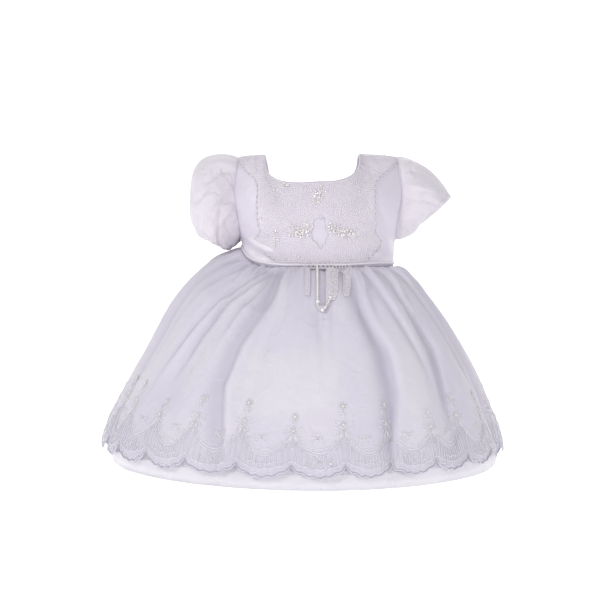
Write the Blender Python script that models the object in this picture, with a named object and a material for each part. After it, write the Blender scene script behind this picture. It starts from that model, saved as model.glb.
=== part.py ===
"""A baby's christening gown, filled out as it is worn: bodice, two sleeves, scalloped overskirt, underskirt.

Millimetres in the tables, metres in the meshes. +Z is up, the front faces -Y and +X is at the right of the
front view. The origin is midway between the shoulders, on the shoulder line.
"""

import bpy
import numpy as np

MM = 0.001
WALL = 1.2
SEAM_GAP = 0.3
ROUND = (0.2, 0.002)  # the small steps in degrees and share by which a skirt's or sleeve's slopes are found
PANEL = (0.004, 0.2)  # the same in share and degrees, on the bodice

WAIST_Z = -130.0
WAIST_LIFT = 23.0
WAIST_LIFT_SHARPNESS = 8
SHOULDER_SLOPE = 0.075
CHEST_SQUARENESS = 2.4
SHOULDER_SQUARENESS = 3.0
UNDERARM_ROW = 1 / 12
NECK_SHARPNESS = 2.3
NECK_LEFT, NECK_RIGHT = -0.547, 0.397
NECK_RISE_FRONT, NECK_RISE_BACK = 0.715, 0.745
NECK_COLUMN, NECK_COLUMN_LOW = 10 / 14, 0.55
NECK_FINE_STEPS, NECK_STEPS = 1500, 200
ARMHOLE_STEPS = 400

SKIRT_SQUARENESS = 2.0
FLARE_START = 0.3  # the share of the way down by which the skirt has lost the waist's own outline
GATHERS = 30
GATHER_HEIGHT = 1.4
GATHER_START, GATHER_END = 0.02, 0.22
FOLD_OPENING, FOLD_CLOSING = 0.28, 0.25
RIDGE_HEIGHT, RIDGE_SPREAD = 0.45, 2.2  # the swell beside a fold, as shares of the fold's depth and width
SCALLOPS = 26
SCALLOP_HEM = 0.932
SCALLOP_DROP = 0.034
SCALLOP_ROUNDNESS = 0.7
HEM_CORD = 0.7
UNDERSKIRT_EASE = 3.0
EASE_START = 0.15

ARMHOLE_GAP = 0.4
ARMHOLE_EASE = 0.45  # the share of a sleeve's length in which it leaves the armhole's outline
PUCKERS = 10
PUCKER_HEIGHT_LEFT, PUCKER_HEIGHT_RIGHT = 2.2, 1.0
CAP_PUCKERS = (0.08, 0.45)
CUFF_PUCKERS = (0.04, 0.35)
CUFF_SHARE = 0.8

APPLIQUE_BASE = 0.5
APPLIQUE_THIN, APPLIQUE_THICK = 0.9, 1.5
APPLIQUE_ROW_SPREAD = 1.25
SPRAY_FLAT = 0.3
TAIL_BASE = 1.1
TAIL_THICK = 1.3
BUTTON_RADIUS, BUTTON_HEIGHT = 5.0, 2.4
BUTTON_SIDES = 12
BUTTON_PROFILE = ((0.6, 0.0), (1.0, 0.3), (0.9, 0.75), (0.45, 1.0))  # radius and lift, as shares
BUTTON_GAP = 0.35
PLACKET_HALF_WIDTH = 8.0
PLACKET_GAP = 0.4
PLACKET_FOOT, PLACKET_HEAD = 0.02, 0.97


def table(columns, *rows):
    """A short table, held by the names of its columns."""
    return dict(zip(columns.split(), np.array(rows, float).T))


TORSO = table(
    "rise half_width half_depth armhole_angle",
    (0.00, 85.0, 66.0, 90.0),
    (0.257, 87.5, 68.0, 90.0),
    (0.29, 88.6, 68.5, 79.0),
    (0.36, 91.5, 69.0, 71.5),
    (0.47, 96.0, 69.5, 66.5),
    (0.62, 101.0, 69.0, 64.0),
    (0.80, 102.0, 68.0, 61.0),
    (0.93, 102.0, 68.0, 58.0),
    (1.00, 102.0, 68.0, 57.0),
)

SKIRT = table(
    "down left_x left_z right_x right_z front_y front_z back_y back_z",
    (0.00, 85.0, -107.3, 85.0, -130.3, 66.0, -130.3, 66.0, -130.3),
    (0.05, 97.0, -112.0, 97.0, -134.0, 80.0, -134.0, 81.0, -133.5),
    (0.12, 113.0, -118.0, 112.0, -147.0, 97.0, -144.0, 99.0, -143.0),
    (0.20, 128.0, -130.0, 123.0, -161.0, 112.0, -158.0, 115.0, -157.0),
    (0.30, 146.0, -148.0, 138.0, -181.0, 127.0, -178.0, 131.0, -177.0),
    (0.40, 162.0, -169.0, 151.0, -201.0, 141.0, -200.0, 145.0, -199.0),
    (0.50, 176.0, -193.0, 163.0, -221.0, 153.0, -222.0, 157.0, -222.0),
    (0.60, 190.0, -219.0, 175.0, -243.0, 165.0, -246.0, 168.0, -246.0),
    (0.70, 206.0, -247.0, 185.0, -265.0, 176.0, -270.0, 178.0, -270.0),
    (0.80, 222.0, -277.0, 195.0, -290.0, 187.0, -295.0, 188.0, -295.0),
    (0.90, 236.0, -307.0, 204.0, -315.0, 197.0, -319.0, 197.0, -319.0),
    (0.96, 241.0, -328.0, 207.0, -332.0, 202.0, -336.0, 201.0, -335.0),
    (1.00, 234.0, -347.0, 204.0, -348.5, 200.0, -351.5, 199.0, -350.0),
)

FOLDS = table(
    "waist_angle hem_angle depth width start end",
    (-16, -24, 10.0, 6.5, 0.02, 1.10),
    (-22, -40, 5.0, 5.0, 0.02, 0.45),
    (-30, -52, 7.0, 6.0, 0.05, 0.85),
    (-66, -74, 6.0, 7.0, 0.10, 1.10),
    (5, 4, 4.0, 5.0, 0.12, 0.55),
    (-4, -4, 4.0, 8.0, 0.55, 1.10),
    (27, 24, 9.0, 6.0, 0.02, 1.10),
    (54, 45, 7.0, 6.0, 0.03, 1.00),
    (70, 72, 6.0, 6.5, 0.10, 1.10),
    (104, 108, 7.0, 7.0, 0.05, 1.10),
    (128, 131, 8.0, 6.5, 0.03, 1.10),
    (150, 156, 8.0, 6.5, 0.03, 1.00),
    (176, 180, 9.0, 7.0, 0.02, 1.10),
    (-152, -154, 8.0, 6.5, 0.03, 1.10),
    (-130, -126, 8.0, 7.0, 0.03, 1.00),
    (-106, -101, 7.0, 7.0, 0.05, 1.10),
)

SLEEVE_LEFT = table(
    "out top_x top_z low_x low_z half_depth",
    (0.00, -88.4, -5.0, -86.0, -98.5, 31.5),
    (0.18, -110.0, -3.0, -88.5, -101.5, 39.0),
    (0.36, -130.0, -8.0, -91.0, -104.5, 44.0),
    (0.54, -141.0, -24.0, -94.0, -106.5, 46.0),
    (0.72, -144.0, -54.0, -97.0, -108.0, 44.0),
    (0.88, -141.0, -79.0, -100.0, -109.5, 38.0),
    (1.00, -133.0, -95.0, -104.0, -110.0, 32.0),
)

SLEEVE_RIGHT = table(
    "out top_x top_z low_x low_z half_depth",
    (0.00, 88.4, -5.0, 86.0, -98.5, 31.5),
    (0.22, 103.0, -8.0, 93.0, -98.5, 37.0),
    (0.45, 119.0, -16.0, 102.0, -95.0, 39.0),
    (0.68, 132.0, -26.0, 110.0, -90.0, 37.0),
    (0.86, 142.0, -40.0, 116.0, -83.0, 33.0),
    (1.00, 149.0, -52.0, 123.0, -76.0, 29.0),
)

# The applique's edges, as columns of the front panel, up from the waist to the shoulder.
APPLIQUE = table(
    "up left right",
    (0.012, -0.39, 0.47),
    (0.05, -0.58, 0.60),
    (0.13, -0.72, 0.70),
    (0.24, -0.74, 0.71),
    (0.36, -0.73, 0.70),
    (0.45, -0.75, 0.74),
    (0.58, -0.87, 0.86),
    (0.70, -0.96, 0.96),
    (0.975, -0.96, 0.96),
)

# Raised sprays of flowers on the applique: where they lie in the front view, how far and how high they swell.
SPRAYS = table(
    "x z radius height",
    (-6, -56, 13, 1.0),
    (-29, -90, 14, 1.0),
    (26, -90, 14, 1.0),
    (-6, -112, 11, 0.8),
    (-44, -52, 10, 0.8),
    (42, -54, 10, 0.8),
    (-50, -108, 8, 0.6),
    (46, -108, 8, 0.6),
    (-74, -20, 9, 0.8),
    (68, -22, 9, 0.8),
)

# The plain satin left open in the applique, in shares of the applique's width and of the panel's height.
APPLIQUE_GAP = table(
    "share up half_share half_up",
    (0.5156, 0.262, 0.037, 0.158),
)

# The edges of the strands of the applique's tail, as angles, by the share of the way down the skirt.
TAIL = table(
    "down left_out left_in pearl_left pearl_right middle_left middle middle_right right_in right_out",
    (0.012, -6.6, -3.8, -0.9, 0.1, 3.3, 6.8, 10.4, 13.7, 19.1),
    (0.035, -6.4, -3.8, -0.9, 0.1, 3.1, 6.5, 9.9, 13.1, 18.1),
    (0.075, -6.0, -3.6, -1.0, 0.1, 2.9, 6.0, 9.0, 12.0, 16.3),
    (0.120, -5.8, -3.5, -1.0, 0.0, 2.8, 5.6, 8.4, 11.0, 15.1),
    (0.165, -5.7, -3.5, -1.1, 0.0, 2.8, 5.5, 8.2, 10.6, 14.5),
    (0.210, -5.4, -3.9, -1.2, -0.1, 2.8, 5.2, 7.6, 10.8, 13.0),
    (0.235, -5.4, -3.9, -1.3, -0.1, 2.8, 4.6, 6.4, 10.8, 13.0),
    (0.262, -5.4, -3.9, -1.3, -0.1, 2.6, 4.0, 5.0, 10.8, 13.0),
    (0.290, -5.4, -3.9, 0.3, 0.7, 1.3, 1.7, 2.0, 10.8, 13.0),
)

# The tail's kept stretches: the first is its band along the waist, the rest its strands. Columns count its
# edges from left_out at 0, and rows count down the table above.
STRANDS = table(
    "first_column last_column first_row last_row",
    (0, 8, 0, 1),
    (0, 1, 1, 5),
    (2, 3, 1, 7),
    (4, 6, 1, 6),
    (4, 5, 6, 7),
    (2, 5, 7, 8),
    (7, 8, 1, 5),
)

BUTTON_HEIGHTS = (0.12, 0.45, 0.85)

MATERIALS = {
    "satin": ((0.86, 0.85, 0.90), 0.38, 0.55),
    "organza": ((0.79, 0.77, 0.85), 0.55, 0.30),
    "lace": ((0.89, 0.87, 0.90), 0.60, 0.20),
    "pearl_plastic": ((0.90, 0.88, 0.86), 0.25, 0.50),
}


def along(rows, column, where, key):
    """A table's column between its rows, on a smooth curve."""
    xs, ys = rows[key], rows[column]
    slopes = np.gradient(ys, xs)
    beyond = where - np.clip(where, xs[0], xs[-1])
    where = where - beyond
    i = np.clip(np.searchsorted(xs, where) - 1, 0, len(xs) - 2)
    step = xs[i + 1] - xs[i]
    f = (where - xs[i]) / step
    keep = (1 + 2 * f) * (1 - f) ** 2
    start = f * (1 - f) ** 2 * step * slopes[i]
    end = f * f * (f - 1) * step * slopes[i + 1]
    straight_on = beyond * np.where(beyond > 0, slopes[-1], slopes[0])
    return keep * ys[i] + (1 - keep) * ys[i + 1] + start + end + straight_on


def signed_power(value, power):
    return np.sign(value) * np.abs(value) ** power


def fade(value, start, end):
    """1 up to start, down to 0 at end, with no corner."""
    f = np.clip((value - start) / (end - start), 0, 1)
    return 1 - f * f * (3 - 2 * f)


def waist_lift(angle):
    """How far the waist seam is hitched up at the left side."""
    left = np.clip(-np.sin(np.radians(angle)), 0, 1)
    return WAIST_LIFT * left**WAIST_LIFT_SHARPNESS


def rise_of(turn):
    """The share of the height reached when the profile has turned this far from upright, in degrees."""
    return signed_power(np.sin(np.radians(turn)), 2 / SHOULDER_SQUARENESS)


def torso(across, turn, back):
    """A point of the bodice: across from -1 to 1 between the armholes or side seams, turn from the waist at
    0 degrees to the shoulder line at 90."""
    rise = rise_of(turn)
    angle = across * along(TORSO, "armhole_angle", rise, "rise")
    angle = 180 - angle if back else angle
    width = along(TORSO, "half_width", rise, "rise")
    depth = along(TORSO, "half_depth", rise, "rise")
    sine, cosine = np.sin(np.radians(angle)), np.cos(np.radians(angle))
    x = width * signed_power(sine, 2 / CHEST_SQUARENESS)
    inward = signed_power(np.cos(np.radians(turn)), 2 / SHOULDER_SQUARENESS)
    y = -depth * inward * signed_power(cosine, 2 / CHEST_SQUARENESS)
    shoulder_z = -SHOULDER_SLOPE * np.abs(x)
    underarm_rise = rise_of(90 * UNDERARM_ROW)
    z = WAIST_Z + (shoulder_z - WAIST_Z) * rise
    z = z + waist_lift(angle) * np.clip(1 - rise / underarm_rise, 0, 2)
    return np.stack([x, y, z], axis=-1)


def across_at(x, turn):
    """The share of the width at which the bodice has this x."""
    rise = rise_of(turn)
    sine = (np.abs(x) / along(TORSO, "half_width", rise, "rise")) ** (CHEST_SQUARENESS / 2)
    return np.sign(x) * np.degrees(np.arcsin(sine)) / along(TORSO, "armhole_angle", rise, "rise")


def neck_edge(corner, back):
    """Across and turn along one side of the neckline, evenly spaced, from its middle to the shoulder line."""
    middle, half = (NECK_LEFT + NECK_RIGHT) / 2, (NECK_RIGHT - NECK_LEFT) / 2
    corner_side = np.sign(corner)
    swing = np.radians(90) * (1 - (1 - np.linspace(0, 1, NECK_FINE_STEPS)) ** 3)
    swing = np.append(-swing[::-1], swing[1:])
    across = middle + corner_side * half * signed_power(np.sin(swing), 2 / NECK_SHARPNESS)
    scoop = np.abs(np.cos(swing)) ** (2 / NECK_SHARPNESS)
    lowest = NECK_RISE_BACK if back else NECK_RISE_FRONT
    turn = np.degrees(np.arcsin((1 - (1 - lowest) * scoop) ** (SHOULDER_SQUARENESS / 2)))
    kept = across * corner_side >= 0
    across, turn = across[kept], turn[kept]
    points = torso(across, turn, back)
    length = np.append(0, np.cumsum(np.linalg.norm(np.diff(points, axis=0), axis=1)))
    even = np.linspace(0, length[-1], NECK_STEPS)
    return np.interp(even, length, across), np.interp(even, length, turn)


def panel(column, up, back):
    """Across and turn of a point of a bodice panel: column from -1 to 1 between its sides, up from the waist
    at 0 to the neckline or the shoulder line at 1."""
    side = np.abs(column)
    neck = np.linspace(0, NECK_COLUMN, NECK_STEPS)
    low = np.interp(side, (0, NECK_COLUMN, 1), (0, NECK_COLUMN_LOW, 1))
    top, turn = np.zeros_like(low), np.zeros_like(low)
    for corner in (NECK_LEFT, NECK_RIGHT):
        across, edge_turn = neck_edge(corner, back)
        here = column * corner >= 0
        top = np.where(here, np.interp(side, (*neck, 1), (*np.abs(across), 1)), top)
        turn = np.where(here, np.interp(side, (*neck, 1), (*edge_turn, 90)), turn)
    return np.sign(column) * (low + (top - low) * up**2), up * turn


def front_of_torso(across, turn):
    return torso(across, turn, False)


def back_of_torso(across, turn):
    return torso(across, turn, True)


def skirt(angle, down, gathered=1.0):
    """A point of the skirt: angle round from the front, down from the waist at 0 to the hem at 1."""
    sine, cosine = np.sin(np.radians(angle)), np.cos(np.radians(angle))
    square = CHEST_SQUARENESS + (SKIRT_SQUARENESS - CHEST_SQUARENESS) * np.clip(down / FLARE_START, 0, 1)
    across = signed_power(sine, 2 / square)
    forward = signed_power(cosine, 2 / square)

    def pick(test, yes, no):
        return np.where(test, along(SKIRT, yes, down, "down"), along(SKIRT, no, down, "down"))

    x = across * pick(sine >= 0, "right_x", "left_x")
    y = -forward * pick(cosine >= 0, "front_y", "back_y")
    sharpness = WAIST_LIFT_SHARPNESS + (2 - WAIST_LIFT_SHARPNESS) * np.clip(down / FLARE_START, 0, 1)
    side = np.abs(sine) ** sharpness
    z = side * pick(sine >= 0, "right_z", "left_z") + (1 - side) * pick(cosine >= 0, "front_z", "back_z")

    out = gathered * GATHER_HEIGHT * fade(down, GATHER_START, GATHER_END)
    out = out * (1 - np.cos(np.radians(angle * GATHERS))) / 2
    for i in range(len(FOLDS["depth"])):
        fold = {name: column[i] for name, column in FOLDS.items()}
        centre = fold["waist_angle"] + (fold["hem_angle"] - fold["waist_angle"]) * np.sqrt(np.abs(down))
        away = (angle - centre + 180) % 360 - 180
        opens = fade(fold["start"] + FOLD_OPENING - down, 0, FOLD_OPENING)
        closes = fade(down, fold["end"] - FOLD_CLOSING, fold["end"])
        trough = np.exp(-((away / fold["width"]) ** 2))
        ridge = RIDGE_HEIGHT * np.exp(-((away / fold["width"] / RIDGE_SPREAD) ** 2))
        out = out - fold["depth"] * opens * closes * (trough - ridge)
    outward = np.hypot(x, y)
    return np.stack([x + out * x / outward, y + out * y / outward, z], axis=-1)


def scalloped(angle, share):
    """How far down the overskirt a share of its length lies, with a scallop's curve at the hem."""
    phase = np.radians(angle * SCALLOPS / 2)
    return share * (SCALLOP_HEM + SCALLOP_DROP * np.abs(np.cos(phase)) ** SCALLOP_ROUNDNESS)


def ungathered(angle, down):
    return skirt(angle, down, 0.0)


def underskirt(angle, down):
    """The underskirt's outside: the same flare without its gathers, moved in under the overskirt."""
    inset = WALL + 2 * SEAM_GAP + UNDERSKIRT_EASE * np.clip(down / EASE_START, 0, 1)
    return ungathered(angle, down) - normals(ungathered, angle, down, ROUND, -1) * inset[..., None]


def armhole(side, height):
    """x, half-depth and z of the armhole's edge at these heights: 0 at the underarm, 1 on the shoulder."""
    turns = np.linspace(90 * UNDERARM_ROW, 90, ARMHOLE_STEPS)
    edge = torso(np.full(ARMHOLE_STEPS, float(side)), turns, False)
    share = (edge[:, 2] - edge[0, 2]) / (edge[-1, 2] - edge[0, 2])
    return (
        np.interp(height, share, edge[:, 0]),
        np.interp(height, share, -edge[:, 1]),
        edge[0, 2] + height * (edge[-1, 2] - edge[0, 2]),
    )


def sleeve_of(rows, side, pucker_height):
    """The map of one sleeve: angle 0 on top and 90 at the front, out from the armhole at 0 to the hem at
    1."""

    def ellipse(angle, out):
        top = [along(rows, name, out, "out") for name in ("top_x", "top_z")]
        low = [along(rows, name, out, "out") for name in ("low_x", "low_z")]
        cosine, sine = np.cos(np.radians(angle)), np.sin(np.radians(angle))
        x = (top[0] + low[0]) / 2 + (top[0] - low[0]) / 2 * cosine
        z = (top[1] + low[1]) / 2 + (top[1] - low[1]) / 2 * cosine
        return np.stack([x, -along(rows, "half_depth", out, "out") * sine, z], axis=-1)

    def sleeve(angle, out):
        cosine, sine = np.cos(np.radians(angle)), np.sin(np.radians(angle))
        x, half_depth, z = armhole(side, (1 + cosine) / 2)
        edge = np.stack([x + side * ARMHOLE_GAP, -np.sign(sine) * half_depth, z], axis=-1)
        start = ellipse(angle, np.zeros_like(out))
        near = fade(out, 0.0, ARMHOLE_EASE)[..., None]
        points = ellipse(angle, out) + (edge - start) * near
        middle = (ellipse(angle, out) + ellipse(angle + 180, out)) / 2
        outward = points - middle
        outward = outward / np.linalg.norm(outward, axis=-1)[..., None]
        cap = fade(out, *CAP_PUCKERS) * fade(-out, -CAP_PUCKERS[0], 0.0) * (1 + cosine) / 2
        cuff = CUFF_SHARE * fade(1 - out, *CUFF_PUCKERS)
        wave = (1 + np.cos(np.radians(angle * PUCKERS))) / 2 * pucker_height * np.maximum(cap, cuff)
        return points + outward * wave[..., None]

    return sleeve


def normals(surface, a, b, steps, hand):
    """The outward directions of a map, from its slopes: hand is 1 where b climbs to the left of a's way, seen
    from outside, and -1 where it falls to the right."""
    step_a, step_b = steps
    slope_a = surface(a + step_a, b) - surface(a - step_a, b)
    slope_b = surface(a, b + step_b) - surface(a, b - step_b)
    found = np.cross(slope_a, slope_b) * hand
    return found / np.linalg.norm(found, axis=-1)[..., None]


def kept_to(points, limits):
    """Points held on their own side of a seam: limits gives the axes and the sides."""
    points = points.copy()
    for axis, side in limits:
        points[..., axis] = side * np.maximum(side * points[..., axis], SEAM_GAP / 2)
    return points


def wall(name, outer, inner, closed, material, cut=None):
    """One closed body between two grids of points. A closed grid runs round to its own start, and cut marks
    the cells that are left open."""
    rows, columns = outer.shape[:2]
    points = np.concatenate([outer.reshape(-1, 3), inner.reshape(-1, 3)]) * MM
    other = rows * columns
    faces, rims = [], set()
    for r in range(rows - 1):
        for c in range(columns if closed else columns - 1):
            if cut is not None and cut[r, c]:
                continue
            d = (c + 1) % columns
            a, b, e, f = r * columns + c, r * columns + d, (r + 1) * columns + d, (r + 1) * columns + c
            faces += [(a, b, e), (a, e, f)]
            faces += [(a + other, e + other, b + other), (a + other, f + other, e + other)]
            for start, end in ((a, b), (b, e), (e, f), (f, a)):
                if (end, start) in rims:
                    rims.remove((end, start))
                else:
                    rims.add((start, end))
    smooth = [True] * len(faces) + [False] * (2 * len(rims))
    for a, b in sorted(rims):
        faces += [(b, a, a + other), (b, a + other, b + other)]
    used = np.unique(faces)
    renumbered = np.zeros(2 * other, int)
    renumbered[used] = np.arange(len(used))
    mesh = bpy.data.meshes.new(name)
    mesh.from_pydata(points[used].tolist(), [], renumbered[np.array(faces)].tolist())
    mesh.polygons.foreach_set("use_smooth", smooth)
    mesh.materials.append(material)
    bpy.context.scene.collection.objects.link(bpy.data.objects.new(name, mesh))


def cloth(name, surface, a, b, material, hand, limits=(), closed=False, steps=ROUND, cord=None):
    """A wall of one thickness inside a map sampled at grids a and b; cord thickens its outside by row."""
    outer = surface(a, b)
    direction = normals(surface, a, b, steps, hand)
    inner = outer - direction * WALL
    if cord is not None:
        outer = outer + direction * np.array(cord)[:, None, None]
    outer, inner = kept_to(outer, limits), kept_to(inner, limits)
    if hand < 0:
        outer, inner = outer[:, ::-1], inner[:, ::-1]
    wall(name, outer, inner, closed, material)


def principled(name):
    colour, roughness, sheen = MATERIALS[name]
    material = bpy.data.materials.new(name)
    material.use_nodes = True
    shader = material.node_tree.nodes["Principled BSDF"]
    shader.inputs["Base Color"].default_value = (*colour, 1.0)
    shader.inputs["Roughness"].default_value = roughness
    shader.inputs["Metallic"].default_value = 0.0
    shader.inputs["Sheen Weight"].default_value = sheen
    return material


# The shares down or along each piece at which it is sampled, and how many columns of points it has.
BODICE_ROWS = (0, 0.042, UNDERARM_ROW, 0.135, 0.2, 0.28, 0.37, 0.47, 0.58, 0.69, 0.79, 0.88, 0.95, 1)
OVERSKIRT_ROWS = (0, 0.04, 0.11, 0.21, 0.36, 0.54, 0.74, 0.92, 1)
UNDERSKIRT_ROWS = (0, 0.038, 0.104, 0.2, 0.35, 0.6, 0.86, 1)
SLEEVE_ROWS = (0, 0.07, 0.18, 0.34, 0.52, 0.72, 0.88, 1)
BODICE_COLUMNS = 14  # between the middle and a side seam
OVERSKIRT_COLUMNS, UNDERSKIRT_COLUMNS = 33, 20  # in a quarter of the skirt
SLEEVE_COLUMNS = 30
APPLIQUE_ROWS, APPLIQUE_COLUMNS = 20, 33
PLACKET_ROWS, PLACKET_COLUMNS = 11, 5


def build_bodice(satin):
    place = panel(*np.meshgrid(np.linspace(-1, 1, 2 * BODICE_COLUMNS + 1), BODICE_ROWS), False)
    cloth("bodice_front", front_of_torso, *place, satin, 1, [(1, -1)], steps=PANEL)
    for half, side, columns in (("left", -1, (-1, 0)), ("right", 1, (0, 1))):
        place = panel(*np.meshgrid(np.linspace(*columns, BODICE_COLUMNS + 1), BODICE_ROWS), True)
        limits = [(1, 1), (0, side)]
        cloth(f"bodice_back_{half}", back_of_torso, *place, satin, -1, limits, steps=PANEL)


def build_skirts(organza, satin):
    cord = [0] * (len(OVERSKIRT_ROWS) - 1) + [HEM_CORD]
    panels = (
        ("front", -90, 90, [(1, -1)]),
        ("back_right", 90, 180, [(1, 1), (0, 1)]),
        ("back_left", 180, 270, [(1, 1), (0, -1)]),
    )
    for side, start, end, limits in panels:
        quarters = (end - start) // 90
        around = np.linspace(start, end, OVERSKIRT_COLUMNS * quarters)
        angle, share = np.meshgrid(around, OVERSKIRT_ROWS)
        down = scalloped(angle, share)
        cloth(f"overskirt_{side}", skirt, angle, down, organza, -1, limits, cord=cord)
        around = np.linspace(start, end, UNDERSKIRT_COLUMNS * quarters + 1)
        angle, down = np.meshgrid(around, UNDERSKIRT_ROWS)
        cloth(f"underskirt_{side}", underskirt, angle, down, satin, -1, limits)


def build_sleeves(organza):
    around, out = np.meshgrid(np.linspace(0, 360, SLEEVE_COLUMNS + 1)[:-1], SLEEVE_ROWS)
    left = sleeve_of(SLEEVE_LEFT, -1, PUCKER_HEIGHT_LEFT)
    right = sleeve_of(SLEEVE_RIGHT, 1, PUCKER_HEIGHT_RIGHT)
    cloth("sleeve_left", left, around, out, organza, -1, closed=True)
    cloth("sleeve_right", right, around, out, organza, 1, closed=True)


def around_gap(share, up):
    """The applique's grid with the cells inside its plain gap marked, and their edge moved onto its oval."""
    gap = {name: column[0] for name, column in APPLIQUE_GAP.items()}

    def reach(share, up):
        return np.hypot((share - gap["share"]) / gap["half_share"], (up - gap["up"]) / gap["half_up"])

    def centres(grid):
        return (grid[:-1, :-1] + grid[1:, :-1] + grid[:-1, 1:] + grid[1:, 1:]) / 4

    cut = reach(centres(share), centres(up)) < 1
    corners = np.zeros(share.shape, int)
    for rows in (slice(None, -1), slice(1, None)):
        for columns in (slice(None, -1), slice(1, None)):
            corners[rows, columns] += cut
    edge = (corners > 0) & (corners < 4)
    stretch = np.where(edge, 1 / np.maximum(reach(share, up), 0.1), 1.0)
    share = gap["share"] + (share - gap["share"]) * stretch
    up = gap["up"] + (up - gap["up"]) * stretch
    return share, up, cut


def build_applique(lace):
    """The bodice's raised lace and its tail over the skirt, made from the cloth's own points moved out."""
    rows = np.linspace(0, 1, APPLIQUE_ROWS) ** APPLIQUE_ROW_SPREAD
    share, up = np.meshgrid(np.linspace(0, 1, APPLIQUE_COLUMNS), rows)
    up = APPLIQUE["up"][0] + up * (APPLIQUE["up"][-1] - APPLIQUE["up"][0])
    share, up, cut = around_gap(share, up)
    left, right = along(APPLIQUE, "left", up, "up"), along(APPLIQUE, "right", up, "up")
    place = panel(left + (right - left) * share, up, False)
    surface = front_of_torso(*place)
    direction = normals(front_of_torso, *place, PANEL, 1)
    height = APPLIQUE_THIN + 0 * share
    for x, z, radius, swell in zip(*SPRAYS.values()):
        away = np.hypot(surface[..., 0] - x, surface[..., 2] - z) / radius
        height = height + swell * fade(away, SPRAY_FLAT, 1.0)
    base = surface + direction * APPLIQUE_BASE
    top = base + direction * np.minimum(height, APPLIQUE_THIN + APPLIQUE_THICK)[..., None]
    limits = [(1, -1)]
    wall("applique_bodice", kept_to(top, limits), kept_to(base, limits), False, lace, cut)

    angle = np.stack([column for name, column in TAIL.items() if name != "down"], axis=-1)
    down = np.repeat(TAIL["down"][:, None], angle.shape[1], axis=1)
    cut = np.ones((angle.shape[0] - 1, angle.shape[1] - 1), bool)
    for first, last, top, bottom in np.stack(list(STRANDS.values()), axis=-1).astype(int):
        cut[top:bottom, first:last] = False
    direction = normals(skirt, angle, down, ROUND, -1)
    base = skirt(angle, down) + direction * TAIL_BASE
    top = base + direction * TAIL_THICK
    wall("applique_tail", top[:, ::-1], base[:, ::-1], False, lace, cut[:, ::-1])


def build_closure(satin, pearl):
    """The band down the middle of the back and its three round buttons."""
    x = np.linspace(-1, 1, PLACKET_COLUMNS) * PLACKET_HALF_WIDTH
    x, up = np.meshgrid(x, np.linspace(PLACKET_FOOT, PLACKET_HEAD, PLACKET_ROWS))
    back_turn = panel(np.array(0.0), np.array(1.0), True)[1]
    place = across_at(x, up * back_turn), up * back_turn
    direction = normals(back_of_torso, *place, PANEL, -1)
    base = back_of_torso(*place) + direction * PLACKET_GAP
    top = base + direction * WALL
    wall("back_placket", top[:, ::-1], base[:, ::-1], False, satin)
    for number, height in enumerate(BUTTON_HEIGHTS, 1):
        place = np.array(0.0), height * back_turn
        direction = normals(back_of_torso, *place, PANEL, -1)
        foot = back_of_torso(*place) + direction * (PLACKET_GAP + WALL + BUTTON_GAP)
        side = np.array([1.0, 0.0, 0.0])
        upward = np.cross(direction, side)
        rings = []
        for radius, lift in BUTTON_PROFILE:
            angles = np.radians(np.linspace(0, 360, BUTTON_SIDES + 1)[:-1])
            spoke = np.cos(angles)[:, None] * side + np.sin(angles)[:, None] * upward
            rings.append(foot + spoke * radius * BUTTON_RADIUS + direction * lift * BUTTON_HEIGHT)
        button(f"back_button_{number}", np.array(rings), pearl)


def button(name, rings, material):
    """A round button: rings of points from its foot to its top, capped at both ends."""
    count, around = rings.shape[:2]
    faces = []
    for r in range(count - 1):
        for c in range(around):
            d = (c + 1) % around
            faces.append((r * around + c, r * around + d, (r + 1) * around + d, (r + 1) * around + c))
    faces.append(tuple(range(around))[::-1])
    faces.append(tuple((count - 1) * around + c for c in range(around)))
    mesh = bpy.data.meshes.new(name)
    mesh.from_pydata((rings.reshape(-1, 3) * MM).tolist(), [], faces)
    mesh.polygons.foreach_set("use_smooth", [True] * len(faces))
    mesh.materials.append(material)
    bpy.context.scene.collection.objects.link(bpy.data.objects.new(name, mesh))


for leftover in list(bpy.data.objects):
    bpy.data.objects.remove(leftover)
palette = {name: principled(name) for name in MATERIALS}
build_bodice(palette["satin"])
build_skirts(palette["organza"], palette["satin"])
build_sleeves(palette["organza"])
build_applique(palette["lace"])
build_closure(palette["satin"], palette["pearl_plastic"])
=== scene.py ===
"""Dresses the christening gown's solids with its cloth, raised lace, embroidery, pearls and stitches."""

import math

import bpy
import numpy as np
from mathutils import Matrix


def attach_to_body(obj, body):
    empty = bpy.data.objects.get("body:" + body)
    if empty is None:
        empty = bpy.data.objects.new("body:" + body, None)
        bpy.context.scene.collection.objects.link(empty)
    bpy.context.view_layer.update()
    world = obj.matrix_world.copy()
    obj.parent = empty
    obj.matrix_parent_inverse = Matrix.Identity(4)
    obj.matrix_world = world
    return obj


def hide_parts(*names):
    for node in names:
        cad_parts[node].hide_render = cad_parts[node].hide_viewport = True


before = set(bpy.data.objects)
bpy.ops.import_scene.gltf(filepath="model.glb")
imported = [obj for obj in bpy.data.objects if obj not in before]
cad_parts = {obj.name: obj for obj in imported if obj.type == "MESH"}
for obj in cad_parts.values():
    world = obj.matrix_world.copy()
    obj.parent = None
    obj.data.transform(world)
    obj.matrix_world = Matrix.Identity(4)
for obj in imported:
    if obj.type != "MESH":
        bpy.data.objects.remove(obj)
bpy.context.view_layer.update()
rng = np.random.default_rng(7)

MM = 0.001

# The gown's form, in millimetres, as in the solids

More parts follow.
